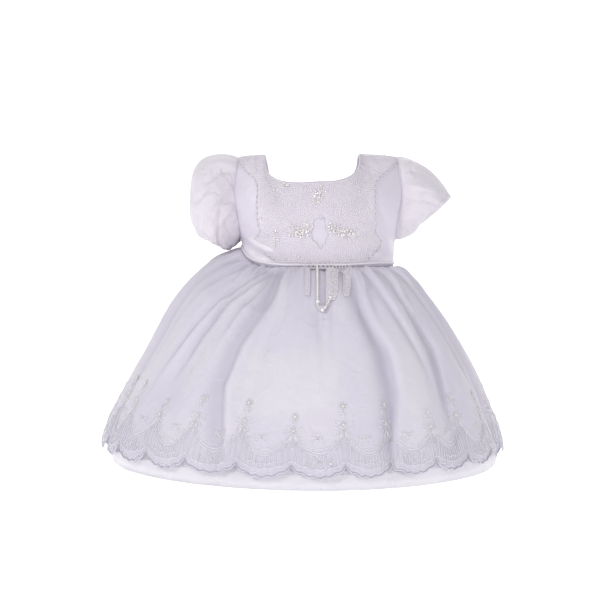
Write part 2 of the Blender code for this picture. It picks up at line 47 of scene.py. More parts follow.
WAIST_Z = -130.0
WAIST_LIFT, WAIST_LIFT_SHARPNESS = 23.0, 8
SHOULDER_SLOPE = 0.075
CHEST_SQUARENESS, SHOULDER_SQUARENESS = 2.4, 3.0
UNDERARM_ROW = 1 / 12
NECK_SHARPNESS = 2.3
NECK_LEFT, NECK_RIGHT = -0.547, 0.397
NECK_RISE_FRONT, NECK_RISE_BACK = 0.715, 0.745
NECK_COLUMN, NECK_COLUMN_LOW = 10 / 14, 0.55
GATHERS, GATHER_HEIGHT, GATHER_END = 30, 1.4, 0.22
SCALLOPS, SCALLOP_HEM, SCALLOP_DROP, SCALLOP_ROUNDNESS = 26, 0.932, 0.034, 0.7
JUNCTION = 360 / SCALLOPS
WALL, SEAM_GAP, UNDERSKIRT_EASE = 1.2, 0.3, 3.0
WEAVE_UNIT = 10.0
ROUND, PANEL = (0.2, 0.002), (0.004, 0.2)
FRONT_Y = [(1, -1)]


def table(columns, *rows):
    return dict(zip(columns.split(), np.array(rows, float).T))


TORSO = table(
    "rise half_width half_depth armhole_angle",
    (0.00, 85.0, 66.0, 90.0),
    (0.257, 87.5, 68.0, 90.0),
    (0.29, 88.6, 68.5, 79.0),
    (0.36, 91.5, 69.0, 71.5),
    (0.47, 96.0, 69.5, 66.5),
    (0.62, 101.0, 69.0, 64.0),
    (0.80, 102.0, 68.0, 61.0),
    (0.93, 102.0, 68.0, 58.0),
    (1.00, 102.0, 68.0, 57.0),
)
SKIRT = table(
    "down left_x left_z right_x right_z front_y front_z back_y back_z",
    (0.00, 85.0, -107.3, 85.0, -130.3, 66.0, -130.3, 66.0, -130.3),
    (0.05, 97.0, -112.0, 97.0, -134.0, 80.0, -134.0, 81.0, -133.5),
    (0.12, 113.0, -118.0, 112.0, -147.0, 97.0, -144.0, 99.0, -143.0),
    (0.20, 128.0, -130.0, 123.0, -161.0, 112.0, -158.0, 115.0, -157.0),
    (0.30, 146.0, -148.0, 138.0, -181.0, 127.0, -178.0, 131.0, -177.0),
    (0.40, 162.0, -169.0, 151.0, -201.0, 141.0, -200.0, 145.0, -199.0),
    (0.50, 176.0, -193.0, 163.0, -221.0, 153.0, -222.0, 157.0, -222.0),
    (0.60, 190.0, -219.0, 175.0, -243.0, 165.0, -246.0, 168.0, -246.0),
    (0.70, 206.0, -247.0, 185.0, -265.0, 176.0, -270.0, 178.0, -270.0),
    (0.80, 222.0, -277.0, 195.0, -290.0, 187.0, -295.0, 188.0, -295.0),
    (0.90, 236.0, -307.0, 204.0, -315.0, 197.0, -319.0, 197.0, -319.0),
    (0.96, 241.0, -328.0, 207.0, -332.0, 202.0, -336.0, 201.0, -335.0),
    (1.00, 234.0, -347.0, 204.0, -348.5, 200.0, -351.5, 199.0, -350.0),
)
FOLDS = table(
    "waist_angle hem_angle depth width start end",
    (-16, -24, 10.0, 6.5, 0.02, 1.10),
    (-22, -40, 5.0, 5.0, 0.02, 0.45),
    (-30, -52, 7.0, 6.0, 0.05, 0.85),
    (-66, -74, 6.0, 7.0, 0.10, 1.10),
    (5, 4, 4.0, 5.0, 0.12, 0.55),
    (-4, -4, 4.0, 8.0, 0.55, 1.10),
    (27, 24, 9.0, 6.0, 0.02, 1.10),
    (54, 45, 7.0, 6.0, 0.03, 1.00),
    (70, 72, 6.0, 6.5, 0.10, 1.10),
    (104, 108, 7.0, 7.0, 0.05, 1.10),
    (128, 131, 8.0, 6.5, 0.03, 1.10),
    (150, 156, 8.0, 6.5, 0.03, 1.00),
    (176, 180, 9.0, 7.0, 0.02, 1.10),
    (-152, -154, 8.0, 6.5, 0.03, 1.10),
    (-130, -126, 8.0, 7.0, 0.03, 1.00),
    (-106, -101, 7.0, 7.0, 0.05, 1.10),
)
SLEEVE_LEFT = table(
    "out top_x top_z low_x low_z half_depth",
    (0.00, -88.4, -5.0, -86.0, -98.5, 31.5),
    (0.18, -110.0, -3.0, -88.5, -101.5, 39.0),
    (0.36, -130.0, -8.0, -91.0, -104.5, 44.0),
    (0.54, -141.0, -24.0, -94.0, -106.5, 46.0),
    (0.72, -144.0, -54.0, -97.0, -108.0, 44.0),
    (0.88, -141.0, -79.0, -100.0, -109.5, 38.0),
    (1.00, -133.0, -95.0, -104.0, -110.0, 32.0),
)
SLEEVE_RIGHT = table(
    "out top_x top_z low_x low_z half_depth",
    (0.00, 88.4, -5.0, 86.0, -98.5, 31.5),
    (0.22, 103.0, -8.0, 93.0, -98.5, 37.0),
    (0.45, 119.0, -16.0, 102.0, -95.0, 39.0),
    (0.68, 132.0, -26.0, 110.0, -90.0, 37.0),
    (0.86, 142.0, -40.0, 116.0, -83.0, 33.0),
    (1.00, 149.0, -52.0, 123.0, -76.0, 29.0),
)
APPLIQUE = table(
    "up left right",
    (0.012, -0.39, 0.47),
    (0.05, -0.58, 0.60),
    (0.13, -0.72, 0.70),
    (0.24, -0.74, 0.71),
    (0.36, -0.73, 0.70),
    (0.45, -0.75, 0.74),
    (0.58, -0.87, 0.86),
    (0.70, -0.96, 0.96),
    (0.975, -0.96, 0.96),
)


def along(rows, column, where, key):
    xs, ys = rows[key], rows[column]
    slopes = np.gradient(ys, xs)
    beyond = where - np.clip(where, xs[0], xs[-1])
    where = where - beyond
    i = np.clip(np.searchsorted(xs, where) - 1, 0, len(xs) - 2)
    step = xs[i + 1] - xs[i]
    f = (where - xs[i]) / step
    keep = (1 + 2 * f) * (1 - f) ** 2
    start = f * (1 - f) ** 2 * step * slopes[i]
    end = f * f * (f - 1) * step * slopes[i + 1]
    straight_on = beyond * np.where(beyond > 0, slopes[-1], slopes[0])
    return keep * ys[i] + (1 - keep) * ys[i + 1] + start + end + straight_on


def run_length(points):
    """How far along a line each of its points lies."""
    return np.append(0, np.cumsum(np.linalg.norm(np.diff(points, axis=0), axis=1)))


def signed_power(value, power):
    return np.sign(value) * np.abs(value) ** power


def fade(value, start, end):
    f = np.clip((value - start) / (end - start), 0, 1)
    return 1 - f * f * (3 - 2 * f)


def rise_of(turn):
    return signed_power(np.sin(np.radians(turn)), 2 / SHOULDER_SQUARENESS)


def torso(across, turn, back):
    rise = rise_of(turn)
    angle = across * along(TORSO, "armhole_angle", rise, "rise")
    angle = 180 - angle if back else angle
    width = along(TORSO, "half_width", rise, "rise")
    depth = along(TORSO, "half_depth", rise, "rise")
    sine, cosine = np.sin(np.radians(angle)), np.cos(np.radians(angle))
    x = width * signed_power(sine, 2 / CHEST_SQUARENESS)
    inward = signed_power(np.cos(np.radians(turn)), 2 / SHOULDER_SQUARENESS)
    y = -depth * inward * signed_power(cosine, 2 / CHEST_SQUARENESS)
    z = WAIST_Z + (-SHOULDER_SLOPE * np.abs(x) - WAIST_Z) * rise
    lift = WAIST_LIFT * np.clip(-np.sin(np.radians(angle)), 0, 1) ** WAIST_LIFT_SHARPNESS
    z = z + lift * np.clip(1 - rise / rise_of(90 * UNDERARM_ROW), 0, 2)
    return np.stack([x, y, z], axis=-1)


def across_at(x, turn):
    rise = rise_of(turn)
    sine = (np.abs(x) / along(TORSO, "half_width", rise, "rise")) ** (CHEST_SQUARENESS / 2)
    return np.sign(x) * np.degrees(np.arcsin(sine)) / along(TORSO, "armhole_angle", rise, "rise")


def neck_edge(corner, back):
    middle, half = (NECK_LEFT + NECK_RIGHT) / 2, (NECK_RIGHT - NECK_LEFT) / 2
    side = np.sign(corner)
    swing = np.radians(90) * (1 - (1 - np.linspace(0, 1, 1500)) ** 3)
    swing = np.append(-swing[::-1], swing[1:])
    across = middle + side * half * signed_power(np.sin(swing), 2 / NECK_SHARPNESS)
    scoop = np.abs(np.cos(swing)) ** (2 / NECK_SHARPNESS)
    lowest = NECK_RISE_BACK if back else NECK_RISE_FRONT
    turn = np.degrees(np.arcsin((1 - (1 - lowest) * scoop) ** (SHOULDER_SQUARENESS / 2)))
    kept = across * side >= 0
    across, turn = across[kept], turn[kept]
    length = run_length(torso(across, turn, back))
    even = np.linspace(0, length[-1], 200)
    return np.interp(even, length, across), np.interp(even, length, turn)


NECK_EDGES = {(c, b): neck_edge(c, b) for c in (NECK_LEFT, NECK_RIGHT) for b in (False, True)}


def panel(column, up, back):
    side = np.abs(column)
    neck = np.linspace(0, NECK_COLUMN, 200)
    low = np.interp(side, (0, NECK_COLUMN, 1), (0, NECK_COLUMN_LOW, 1))
    top, turn = np.zeros_like(low), np.zeros_like(low)
    for corner in (NECK_LEFT, NECK_RIGHT):
        across, edge_turn = NECK_EDGES[corner, back]
        here = column * corner >= 0
        top = np.where(here, np.interp(side, (*neck, 1), (*np.abs(across), 1)), top)
        turn = np.where(here, np.interp(side, (*neck, 1), (*edge_turn, 90)), turn)
    return np.sign(column) * (low + (top - low) * up**2), up * turn


def front_of_torso(across, turn):
    return torso(across, turn, False)


def back_of_torso(across, turn):
    return torso(across, turn, True)


def skirt(angle, down, gathered=1.0):
    sine, cosine = np.sin(np.radians(angle)), np.cos(np.radians(angle))
    square = CHEST_SQUARENESS + (2.0 - CHEST_SQUARENESS) * np.clip(down / 0.3, 0, 1)
    across = signed_power(sine, 2 / square)
    forward = signed_power(cosine, 2 / square)

    def pick(test, yes, no):
        return np.where(test, along(SKIRT, yes, down, "down"), along(SKIRT, no, down, "down"))

    x = across * pick(sine >= 0, "right_x", "left_x")
    y = -forward * pick(cosine >= 0, "front_y", "back_y")
    sharpness = WAIST_LIFT_SHARPNESS + (2 - WAIST_LIFT_SHARPNESS) * np.clip(down / 0.3, 0, 1)
    side = np.abs(sine) ** sharpness
    z = side * pick(sine >= 0, "right_z", "left_z") + (1 - side) * pick(cosine >= 0, "front_z", "back_z")
    out = gathered * GATHER_HEIGHT * fade(down, 0.02, GATHER_END)
    out = out * (1 - np.cos(np.radians(angle * GATHERS))) / 2
    for i in range(len(FOLDS["depth"])):
        fold = {name: column[i] for name, column in FOLDS.items()}
        centre = fold["waist_angle"] + (fold["hem_angle"] - fold["waist_angle"]) * np.sqrt(np.abs(down))
        away = (angle - centre + 180) % 360 - 180
        opens = fade(fold["start"] + 0.28 - down, 0, 0.28) * fade(down, fold["end"] - 0.25, fold["end"])
        trough = np.exp(-((away / fold["width"]) ** 2))
        ridge = 0.45 * np.exp(-((away / fold["width"] / 2.2) ** 2))
        out = out - fold["depth"] * opens * (trough - ridge)
    outward = np.hypot(x, y)
    return np.stack([x + out * x / outward, y + out * y / outward, z], axis=-1)


def scallop_hem(angle):
    return SCALLOP_HEM + SCALLOP_DROP * np.abs(np.cos(np.radians(angle * SCALLOPS / 2))) ** SCALLOP_ROUNDNESS


def edge_down(angle):
    """The overskirt's hem, with the little waves of its corded edge."""
    return scallop_hem(angle) + 0.006 * (np.abs(np.cos(np.radians(angle * SCALLOPS * 2.5))) ** 0.7 - 0.6)


def swag_down(angle):
    """How far down the skirt the border's swags hang: they are tied up at the scallops' corners, two of each
    three higher than the third."""
    place = angle / JUNCTION + SCALLOPS / 2 - 0.5
    k, across = np.floor(place), place - np.floor(place)
    tied = [0.142 + 0.024 * ((k + step) % SCALLOPS % 3 > 0) for step in (0, 1)]
    ends = tied[0] * (1 - across) + tied[1] * across
    return SCALLOP_HEM - ends + (ends - 0.052) * np.abs(np.sin(np.pi * across)) ** 0.62


def ungathered(angle, down):
    return skirt(angle, down, 0.0)


def underskirt(angle, down):
    inset = WALL + 2 * SEAM_GAP + UNDERSKIRT_EASE * np.clip(down / 0.15, 0, 1)
    return ungathered(angle, down) - normals(ungathered, angle, down, ROUND, -1) * inset[..., None]


def armhole(side, height):
    turns = np.linspace(90 * UNDERARM_ROW, 90, 400)
    edge = torso(np.full(400, float(side)), turns, False)
    share = (edge[:, 2] - edge[0, 2]) / (edge[-1, 2] - edge[0, 2])
    z = edge[0, 2] + height * (edge[-1, 2] - edge[0, 2])
    return np.interp(height, share, edge[:, 0]), np.interp(height, share, -edge[:, 1]), z


def sleeve_of(rows, side, puckers, pucker_height):
    def ellipse(angle, out):
        top = [along(rows, name, out, "out") for name in ("top_x", "top_z")]
        low = [along(rows, name, out, "out") for name in ("low_x", "low_z")]
        cosine, sine = np.cos(np.radians(angle)), np.sin(np.radians(angle))
        x = (top[0] + low[0]) / 2 + (top[0] - low[0]) / 2 * cosine
        z = (top[1] + low[1]) / 2 + (top[1] - low[1]) / 2 * cosine
        return np.stack([x, -along(rows, "half_depth", out, "out") * sine, z], axis=-1)

    def sleeve(angle, out):
        cosine, sine = np.cos(np.radians(angle)), np.sin(np.radians(angle))
        x, half_depth, z = armhole(side, (1 + cosine) / 2)
        edge = np.stack([x + side * (SEAM_GAP + 0.1), -np.sign(sine) * half_depth, z], axis=-1)
        start = ellipse(angle, np.zeros_like(out))
        points = ellipse(angle, out) + (edge - start) * fade(out, 0.0, 0.45)[..., None]
        middle = (ellipse(angle, out) + ellipse(angle + 180, out)) / 2
        outward = points - middle
        outward = outward / np.linalg.norm(outward, axis=-1)[..., None]
        cap = fade(out, 0.08, 0.45) * fade(-out, -0.06, 0.0) * (1 + cosine) / 2
        cuff = 0.8 * fade(1 - out, 0.04, 0.35)
        wave = (1 + np.cos(np.radians(angle * puckers))) / 2 * pucker_height * np.maximum(cap, cuff)
        return points + outward * wave[..., None]

    return sleeve


def normals(surface, a, b, steps, hand):
    step_a, step_b = steps
    slope_a = surface(a + step_a, b) - surface(a - step_a, b)
    slope_b = surface(a, b + step_b) - surface(a, b - step_b)
    found = np.cross(slope_a, slope_b) * hand
    return found / np.linalg.norm(found, axis=-1)[..., None]


def kept_to(points, limits):
    points = points.copy()
    for axis, side in limits:
        points[..., axis] = side * np.maximum(side * points[..., axis], SEAM_GAP / 2)
    return points


# Meshes

def mesh_object(name, points, quads, material, uvs=None):
    """A mesh of quads from points in millimetres; uvs gives one pair for each quad's corner."""
    mesh = bpy.data.meshes.new(name)
    mesh.vertices.add(len(points))
    mesh.vertices.foreach_set("co", (np.asarray(points, float) * MM).ravel())
    mesh.loops.add(quads.size)
    mesh.loops.foreach_set("vertex_index", quads.ravel().astype(np.int32))
    mesh.polygons.add(len(quads))
    mesh.polygons.foreach_set("loop_start", np.arange(0, quads.size, 4, dtype=np.int32))
    mesh.polygons.foreach_set("loop_total", np.full(len(quads), 4, np.int32))
    if uvs is not None:
        mesh.uv_layers.new(name="UVMap").data.foreach_set("uv", uvs.ravel())
    mesh.update(calc_edges=True)
    mesh.polygons.foreach_set("use_smooth", np.ones(len(quads), bool))
    mesh.materials.append(material)
    body = bpy.data.objects.new(name, mesh)
    bpy.context.scene.collection.objects.link(body)
    return body


def attach(body, slot, *nodes):
    """Lets a piece ride on the gown, in place of the solids that it dresses. slot is not used."""
    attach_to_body(body, "root")
    if nodes:
        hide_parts(*nodes)


def tube_faces(rows, columns, closed_rows=False):
    """Quads of a grid whose columns go round, and its rows too if they are closed."""
    i, j = np.meshgrid(np.arange(rows if closed_rows else rows - 1), np.arange(columns), indexing="ij")
    i2, j2 = (i + 1) % rows, (j + 1) % columns
    corners = [i * columns + j, i2 * columns + j, i2 * columns + j2, i * columns + j2]
    return np.stack(corners, -1).reshape(-1, 4)


def loop(count):
    """Angles evenly round a turn."""
    return np.linspace(0, 2 * math.pi, count + 1)[:-1]


def unit(vectors):
    return vectors / np.maximum(np.linalg.norm(vectors, axis=-1), 1e-9)[..., None]


def shell(name, outer, inner, closed, material, cut=None):
    """A closed thin wall between two grids of points; cut marks the cells that are left open."""
    rows, columns = outer.shape[:2]
    spans = columns if closed else columns - 1
    r, c = np.meshgrid(np.arange(rows - 1), np.arange(spans), indexing="ij")
    kept = np.ones((rows - 1, spans), bool) if cut is None else ~cut
    r, c = r[kept], c[kept]
    d = (c + 1) % columns
    face = np.stack([r * columns + c, r * columns + d, (r + 1) * columns + d, (r + 1) * columns + c], -1)
    other = rows * columns
    step_u, step_v = (np.linalg.norm(np.diff(outer, axis=i), axis=-1).mean() / WEAVE_UNIT for i in (1, 0))
    across_and_up = np.stack([c, c + 1, c + 1, c], -1) * step_u, np.stack([r, r, r + 1, r + 1], -1) * step_v
    uv = np.stack(across_and_up, -1)
    ways = np.concatenate([face[:, [i, (i + 1) % 4]] for i in range(4)])
    key, back = ways[:, 0] * other + ways[:, 1], ways[:, 1] * other + ways[:, 0]
    rim = ways[~np.isin(key, back)]
    side = np.stack([rim[:, 1], rim[:, 0], rim[:, 0] + other, rim[:, 1] + other], -1)
    quads = np.concatenate([face, face[:, ::-1] + other, side])
    uvs = np.concatenate([uv, uv[:, ::-1], np.zeros((len(rim), 4, 2))])
    points = np.concatenate([outer.reshape(-1, 3), inner.reshape(-1, 3)])
    used = np.unique(quads)
    renumbered = np.zeros(len(points), int)
    renumbered[used] = np.arange(len(used))
    return mesh_object(name, points[used], renumbered[quads], material, uvs)


class Threads:
    """Round cords gathered into one mesh."""

    def __init__(self, sides=4):
        self.points, self.quads, self.count, self.sides = [], [], 0, sides

    def add(self, line, lift, radius, closed=False):
        """A cord along a line of points, with lift the outward directions of the cloth below it."""
        way = np.roll(line, -1, 0) - np.roll(line, 1, 0) if closed else np.gradient(line, axis=0)
        side = unit(np.cross(unit(way), lift))
        turn = loop(self.sides)[:, None]
        radius = np.broadcast_to(radius, len(line))[:, None, None]
        ring = line[:, None] + (side[:, None] * np.cos(turn) + lift[:, None] * np.sin(turn)) * radius
        self.points.append(ring.reshape(-1, 3))
        self.quads.append(tube_faces(len(line), self.sides, closed) + self.count)
        if not closed:
            for start, order in ((0, 1), ((len(line) - 1) * self.sides, -1)):
                for j in range(1, self.sides - 2, 2):
                    cap = np.array([[0, j, j + 1, j + 2]]) + start
                    self.quads.append(cap[:, ::order] + self.count)
        self.count += len(line) * self.sides

    def build(self, name, material):
        return mesh_object(name, np.concatenate(self.points), np.concatenate(self.quads), material)


class Beads:
    """Small round beads gathered into one mesh."""

    def __init__(self, rings, around=8):
        polar, turn = np.meshgrid(np.linspace(0, math.pi, rings + 1), loop(around), indexing="ij")
        ball = [np.sin(polar) * np.cos(turn), np.sin(polar) * np.sin(turn), np.cos(polar)]
        self.ball = np.stack(ball, -1).reshape(-1, 3)
        self.faces = tube_faces(rings + 1, around)
        self.points, self.quads, self.count = [], [], 0

    def add(self, centre, radius, lift, flat=1.0):
        aside = unit(np.cross(lift, (0.3, 0.2, 0.9)))
        basis = np.stack([aside, np.cross(lift, aside), lift * flat])
        self.points.append(centre + (self.ball * radius) @ basis)
        self.quads.append(self.faces + self.count)
        self.count += len(self.ball)

    def build(self, name, material):
        return mesh_object(name, np.concatenate(self.points), np.concatenate(self.quads), material)


# Materials


class Recipe:
    """A material being made: its nodes are added and joined one by one."""

    def __init__(self, name, colour, roughness, **more):
        self.material = bpy.data.materials.new(name)
        self.material.use_nodes = True
        self.nodes, self.links = self.material.node_tree.nodes, self.material.node_tree.links
        self.shader = self.nodes["Principled BSDF"]
        self.shader.inputs["Base Color"].default_value = (*colour, 1)
        self.shader.inputs["Roughness"].default_value = roughness
        for key, value in more.items():
            self.shader.inputs[key.replace("_", " ")].default_value = value
        self.place = self.node("TexCoord").outputs

    def node(self, kind, joined=None, settings=None, **values):
        """A node with its settings, its inputs' values and the outputs joined to its inputs."""
        node = self.nodes.new("ShaderNode" + kind)
        for key, value in (settings or {}).items():
            setattr(node, key, value)
        for key, value in values.items():
            node.inputs[key.replace("_", " ")].default_value = value
        for key, output in (joined or {}).items():
            self.links.new(output, node.inputs[key])
        return node

    def mixed(self, factor, low, high):
        """A colour between low, which may be an output, and high."""
        mix = self.node("Mix", {0: factor}, {"data_type": "RGBA"})
        if isinstance(low, tuple):
            mix.inputs[6].default_value = (*low, 1)
        else:
            self.links.new(low, mix.inputs[6])
        mix.inputs[7].default_value = (*high, 1)
        return mix.outputs[2]

    def bumped(self, height, strength, distance, below=None):
        joined = {"Height": height} | ({"Normal": below} if below else {})
        return self.node("Bump", joined, Strength=strength, Distance=distance).outputs["Normal"]

    def done(self, colour, normal):
        self.links.new(colour, self.shader.inputs["Base Color"])
        self.links.new(normal, self.shader.inputs["Normal"])
        return self.material


def woven(name, dark, light, roughness, threads, depth, crumple=0.0, **more):
    """Woven cloth: threads per UV unit each way, in colour and bump, with soft uneven patches. Its mesh may
    hold two values a point: gleam lightens the cloth as a painted highlight, and shade darkens it as painted
    shade in creases or as the border's own darker tone. crumple is in millimetres."""
    recipe = Recipe(name, light, roughness, **more)
    weave = [
        recipe.node(
            "TexWave", {"Vector": recipe.place["UV"]}, {"bands_direction": way},
            Scale=threads / 3.1, Distortion=0.6,
            Detail=1.0,
        ).outputs["Fac"]
        for way in ("X", "Y")
    ]
    both = recipe.node("Math", dict(enumerate(weave)), {"operation": "MAXIMUM"}).outputs[0]
    patches = recipe.node(
        "TexNoise", {"Vector": recipe.place["Object"]}, Scale=14.0, Detail=4.0
    ).outputs["Fac"]
    share = recipe.node("MapRange", {"Value": patches}, From_Min=0.3, From_Max=0.7).outputs["Result"]
    patchy = recipe.node("Math", {0: share}, {"operation": "MULTIPLY"})
    patchy.inputs[1].default_value = 0.65
    tone = recipe.node("Math", {0: both, 2: patchy.outputs[0]}, {"operation": "MULTIPLY_ADD"})
    tone.inputs[1].default_value = 0.35
    colour = recipe.mixed(tone.outputs[0], dark, light)
    # Painted light: gleam mixes towards a paler colour, a painted highlight; shade mixes towards a darker
    # one, painted shade or a darker tone of the cloth itself.
    gleaming, shaded = [0.45 + 0.55 * value for value in light], [0.86 * value for value in dark]
    for value_name, high in (("gleam", gleaming), ("shade", shaded)):
        value = recipe.node("Attribute", settings={"attribute_name": value_name}).outputs["Fac"]
        colour = recipe.mixed(value, colour, high)
    swell = None
    if crumple:
        noise = recipe.node(
            "TexNoise", {"Vector": recipe.place["Object"]}, Scale=55.0, Detail=3.0, Distortion=0.8
        )
        swell = recipe.bumped(noise.outputs["Fac"], 1.0, crumple * MM)
    return recipe.done(colour, recipe.bumped(both, depth, 0.0002, swell))


def corded(name, dark, light, roughness, twist=900, **more):
    """Thread and cord: a fine twist in the bump and a soft change of tone."""
    recipe = Recipe(name, light, roughness, **more)
    spot = {"Vector": recipe.place["Object"]}
    wave = recipe.node("TexWave", spot, {"bands_direction": "DIAGONAL"}, Scale=twist, Distortion=1.5)
    noise = recipe.node("TexNoise", spot, Scale=60.0)
    colour = recipe.mixed(noise.outputs["Fac"], dark, light)
    return recipe.done(colour, recipe.bumped(wave.outputs["Fac"], 0.5, 0.0002))


SATIN = woven(
    "satin", (0.70, 0.655, 0.75), (0.78, 0.735, 0.825), 0.34, 20, 0.25, 1.0,
    Sheen_Weight=0.35, Sheen_Roughness=0.35
)
UNDER_SATIN = woven(
    "underskirt_satin", (0.68, 0.655, 0.715), (0.76, 0.735, 0.785), 0.34, 20, 0.25, 2.0, Sheen_Weight=0.35
)
# The piping's satin is the bodice's satin painted lighter: a painted highlight along the waist.
PIPING_SATIN_PAINTED_LIGHTER = woven("piping_satin_painted_lighter", (0.84, 0.81, 0.88), (0.90, 0.87, 0.94), 0.3, 20, 0.25, Sheen_Weight=0.4)
ORGANZA = woven(
    "organza", (0.87, 0.83, 0.96), (0.95, 0.915, 0.99), 0.5, 14, 0.5, 1.6,
    Sheen_Weight=0.45, Sheen_Roughness=0.4, Alpha=0.74,
)
SLEEVE_CLOTH = woven(
    "sleeve_organza", (0.75, 0.705, 0.775), (0.84, 0.795, 0.85), 0.5, 14, 0.5, 4.0, Sheen_Weight=0.4
)
# The lace's net is darker than its cords: partly its own tone, partly painted shade in the gaps between the
# raised cords.
LACE_NET = woven(
    "lace_net", (0.75, 0.692, 0.80), (0.816, 0.76, 0.865), 0.6, 9, 1.0, Sheen_Weight=0.3, Sheen_Roughness=0.5
)
LACE_CORD = corded("lace_cord", (0.86, 0.82, 0.87), (0.93, 0.90, 0.93), 0.5, Sheen_Weight=0.3)
BORDER_CORD = corded("border_cord", (0.88, 0.86, 0.92), (0.96, 0.94, 0.98), 0.5, Sheen_Weight=0.3)
HEM_CORD = corded("hem_cord", (0.60, 0.57, 0.68), (0.74, 0.71, 0.80), 0.5, Sheen_Weight=0.3)
SEWING = corded("sewing_thread", (0.66, 0.62, 0.70), (0.76, 0.72, 0.80), 0.6, Sheen_Weight=0.3)
PEARL = corded(
    "pearl", (0.90, 0.86, 0.83), (0.96, 0.94, 0.92), 0.16, 40, Coat_Weight=0.7, Coat_Roughness=0.08
)
SEQUIN = corded("sequin", (0.86, 0.82, 0.82), (0.98, 0.95, 0.93), 0.1, 30, Metallic=0.35, Coat_Weight=1.0)


# Cloth


def cloth_shell(name, surface, place, hand, material, thick, relief, steps=ROUND, limits=(), closed=False):
    """A thin wall on a map, moved out by relief in millimetres."""
    direction = normals(surface, *place, steps, hand)
    outer = surface(*place) + direction * relief[..., None]
    outer, inner = kept_to(outer, limits), kept_to(outer - direction * thick, limits)
    if hand < 0:
        outer, inner = outer[:, ::-1], inner[:, ::-1]
    return shell(name, outer, inner, closed, material)


def creases(points, rows):
    """Soft ridges and troughs along bowed runs in the front view."""
    x, z, relief = points[..., 0], points[..., 2], np.zeros(points.shape[:2])
    for x0, z0, x1, z1, height, width, bend in rows:
        dx, dz = x1 - x0, z1 - z0
        length = math.hypot(dx, dz)
        along_it = ((x - x0) * dx + (z - z0) * dz) / length**2
        off = ((x - x0) * dz - (z - z0) * dx) / length - bend * np.sin(np.pi * np.clip(along_it, 0, 1))
        relief = relief + height * fade(np.abs(along_it - 0.5), 0.25, 0.62) * np.exp(-((off / width) ** 2))
    return relief


# Creases as they run in the front view: x and z of both ends, height, half-width and bend.
BODICE_CREASES = (
    (-82, -106, -50, -127, 2.4, 2.6, 2.5),
    (-84, -115, -62, -129, -2.2, 2.2, 1.5),
    (-86, -98, -46, -121, -2.0, 2.6, 3.0),
    (-80, -92, -44, -114, 1.5, 3.2, 3.0),
    (-84, -82, -60, -102, -1.1, 3.0, 1.0),
    (60, -60, 84, -100, -0.8, 4.0, -2.0),
    (76, -70, 84, -120, 0.8, 3.0, 1.0),
    (56, -112, 82, -124, 0.8, 2.6, 1.0),
    (62, -106, 84, -116, -0.8, 2.4, 1.0),
    (-86, -40, -70, -62, 0.8, 3.0, 0.0),
    (-88, -56, -70, -76, -0.8, 3.0, 0.0),
)
BACK_CREASES = (
    (-78, -104, -34, -126, 1.0, 3.0, 3.0),
    (-80, -96, -30, -112, -0.9, 3.4, 3.0),
    (78, -100, 30, -122, 1.0, 3.2, -3.0),
    (80, -90, 36, -106, -0.9, 3.4, -3.0),
    (-60, -30, -20, -60, -0.7, 5.0, 0.0),
    (58, -34, 22, -66, -0.7, 5.0, 0.0),
)


def build_bodice():
    rows = np.linspace(0, 1, 84)
    place = panel(*np.meshgrid(np.linspace(-1, 1, 144), rows), False)
    points = front_of_torso(*place)
    relief = creases(points, BODICE_CREASES) * fade(place[1], 70, 88) * fade(-place[1], -1.2, 0)
    front = cloth_shell("bodice_front_satin", front_of_torso, place, 1, SATIN, 1.0, relief, PANEL, FRONT_Y)
    # Painted highlight: the ridges of the lower bodice's creases are painted lighter, as if they catch the
    # light.
    set_value(front, "gleam", np.clip(relief / 1.2, 0, 1) * fade(points[..., 2], -100, -90))
    attach(front, "satin", "bodice_front")
    for half, side, columns in (("left", -1, (-1, 0)), ("right", 1, (0, 1))):
        place = panel(*np.meshgrid(np.linspace(*columns, 72), rows), True)
        points = back_of_torso(*place)
        relief = creases(points, BACK_CREASES) * fade(place[1], 70, 88) * fade(-place[1], -1.2, 0)
        relief = relief * fade(-np.abs(points[..., 0]), -14, -10)
        limits = [(1, 1), (0, side)]
        name = f"bodice_back_{half}"
        back = cloth_shell(f"{name}_satin", back_of_torso, place, -1, SATIN, 1.0, relief, PANEL, limits)
        attach(back, "satin", name)


def torso_run(column, up, back):
    """Points along a line on the bodice, and the directions out of it."""
    surface = back_of_torso if back else front_of_torso
    place = panel(column, np.full(len(column), up), back)
    direction = normals(surface, *place, PANEL, -1 if back else 1)
    return surface(*place), direction


def clear_of_sides(points, back):
    points[:, 1] = np.maximum(points[:, 1], 0.6) if back else np.minimum(points[:, 1], -0.6)
    return points


def build_piping():
    """A thin satin piping along the bodice's lower edge, its satin painted lighter than the bodice's as a
    highlight along the waist.
    """
    cord = Threads(8)
    for back, start, end, count in ((False, -1, 1, 240), (True, -1, -0.004, 120), (True, 0.004, 1, 120)):
        points, direction = torso_run(np.linspace(start, end, count), 0.006, back)
        points = clear_of_sides(points + direction * 0.5 - np.array([0, 0, 0.5]), back)
        cord.add(points, direction, 1.3)
    attach(cord.build("waist_piping", PIPING_SATIN_PAINTED_LIGHTER), "satin")


def away_from(angle, centre):
    """The way round from a centre to each angle, in degrees."""
    return (angle - centre + 180) % 360 - 180


def fine_ripples(angle, down, count, height, start, end, seed):
    """Uneven small gathers that run down from the waist and fade."""
    dice = np.random.default_rng(seed)
    total = np.zeros_like(angle)
    for centre in np.sort(dice.uniform(-180, 180, count)):
        lean, size, length = dice.normal(0, 2.0), dice.uniform(0.4, 1.0), dice.uniform(0.5, 1.0)
        width = dice.uniform(1.0, 1.9) * (0.6 + down)
        ripple = np.exp(-((away_from(angle, centre + lean * down) / width) ** 2))
        total = total + size * ripple * fade(down, start * length, end * length)
    return height * total


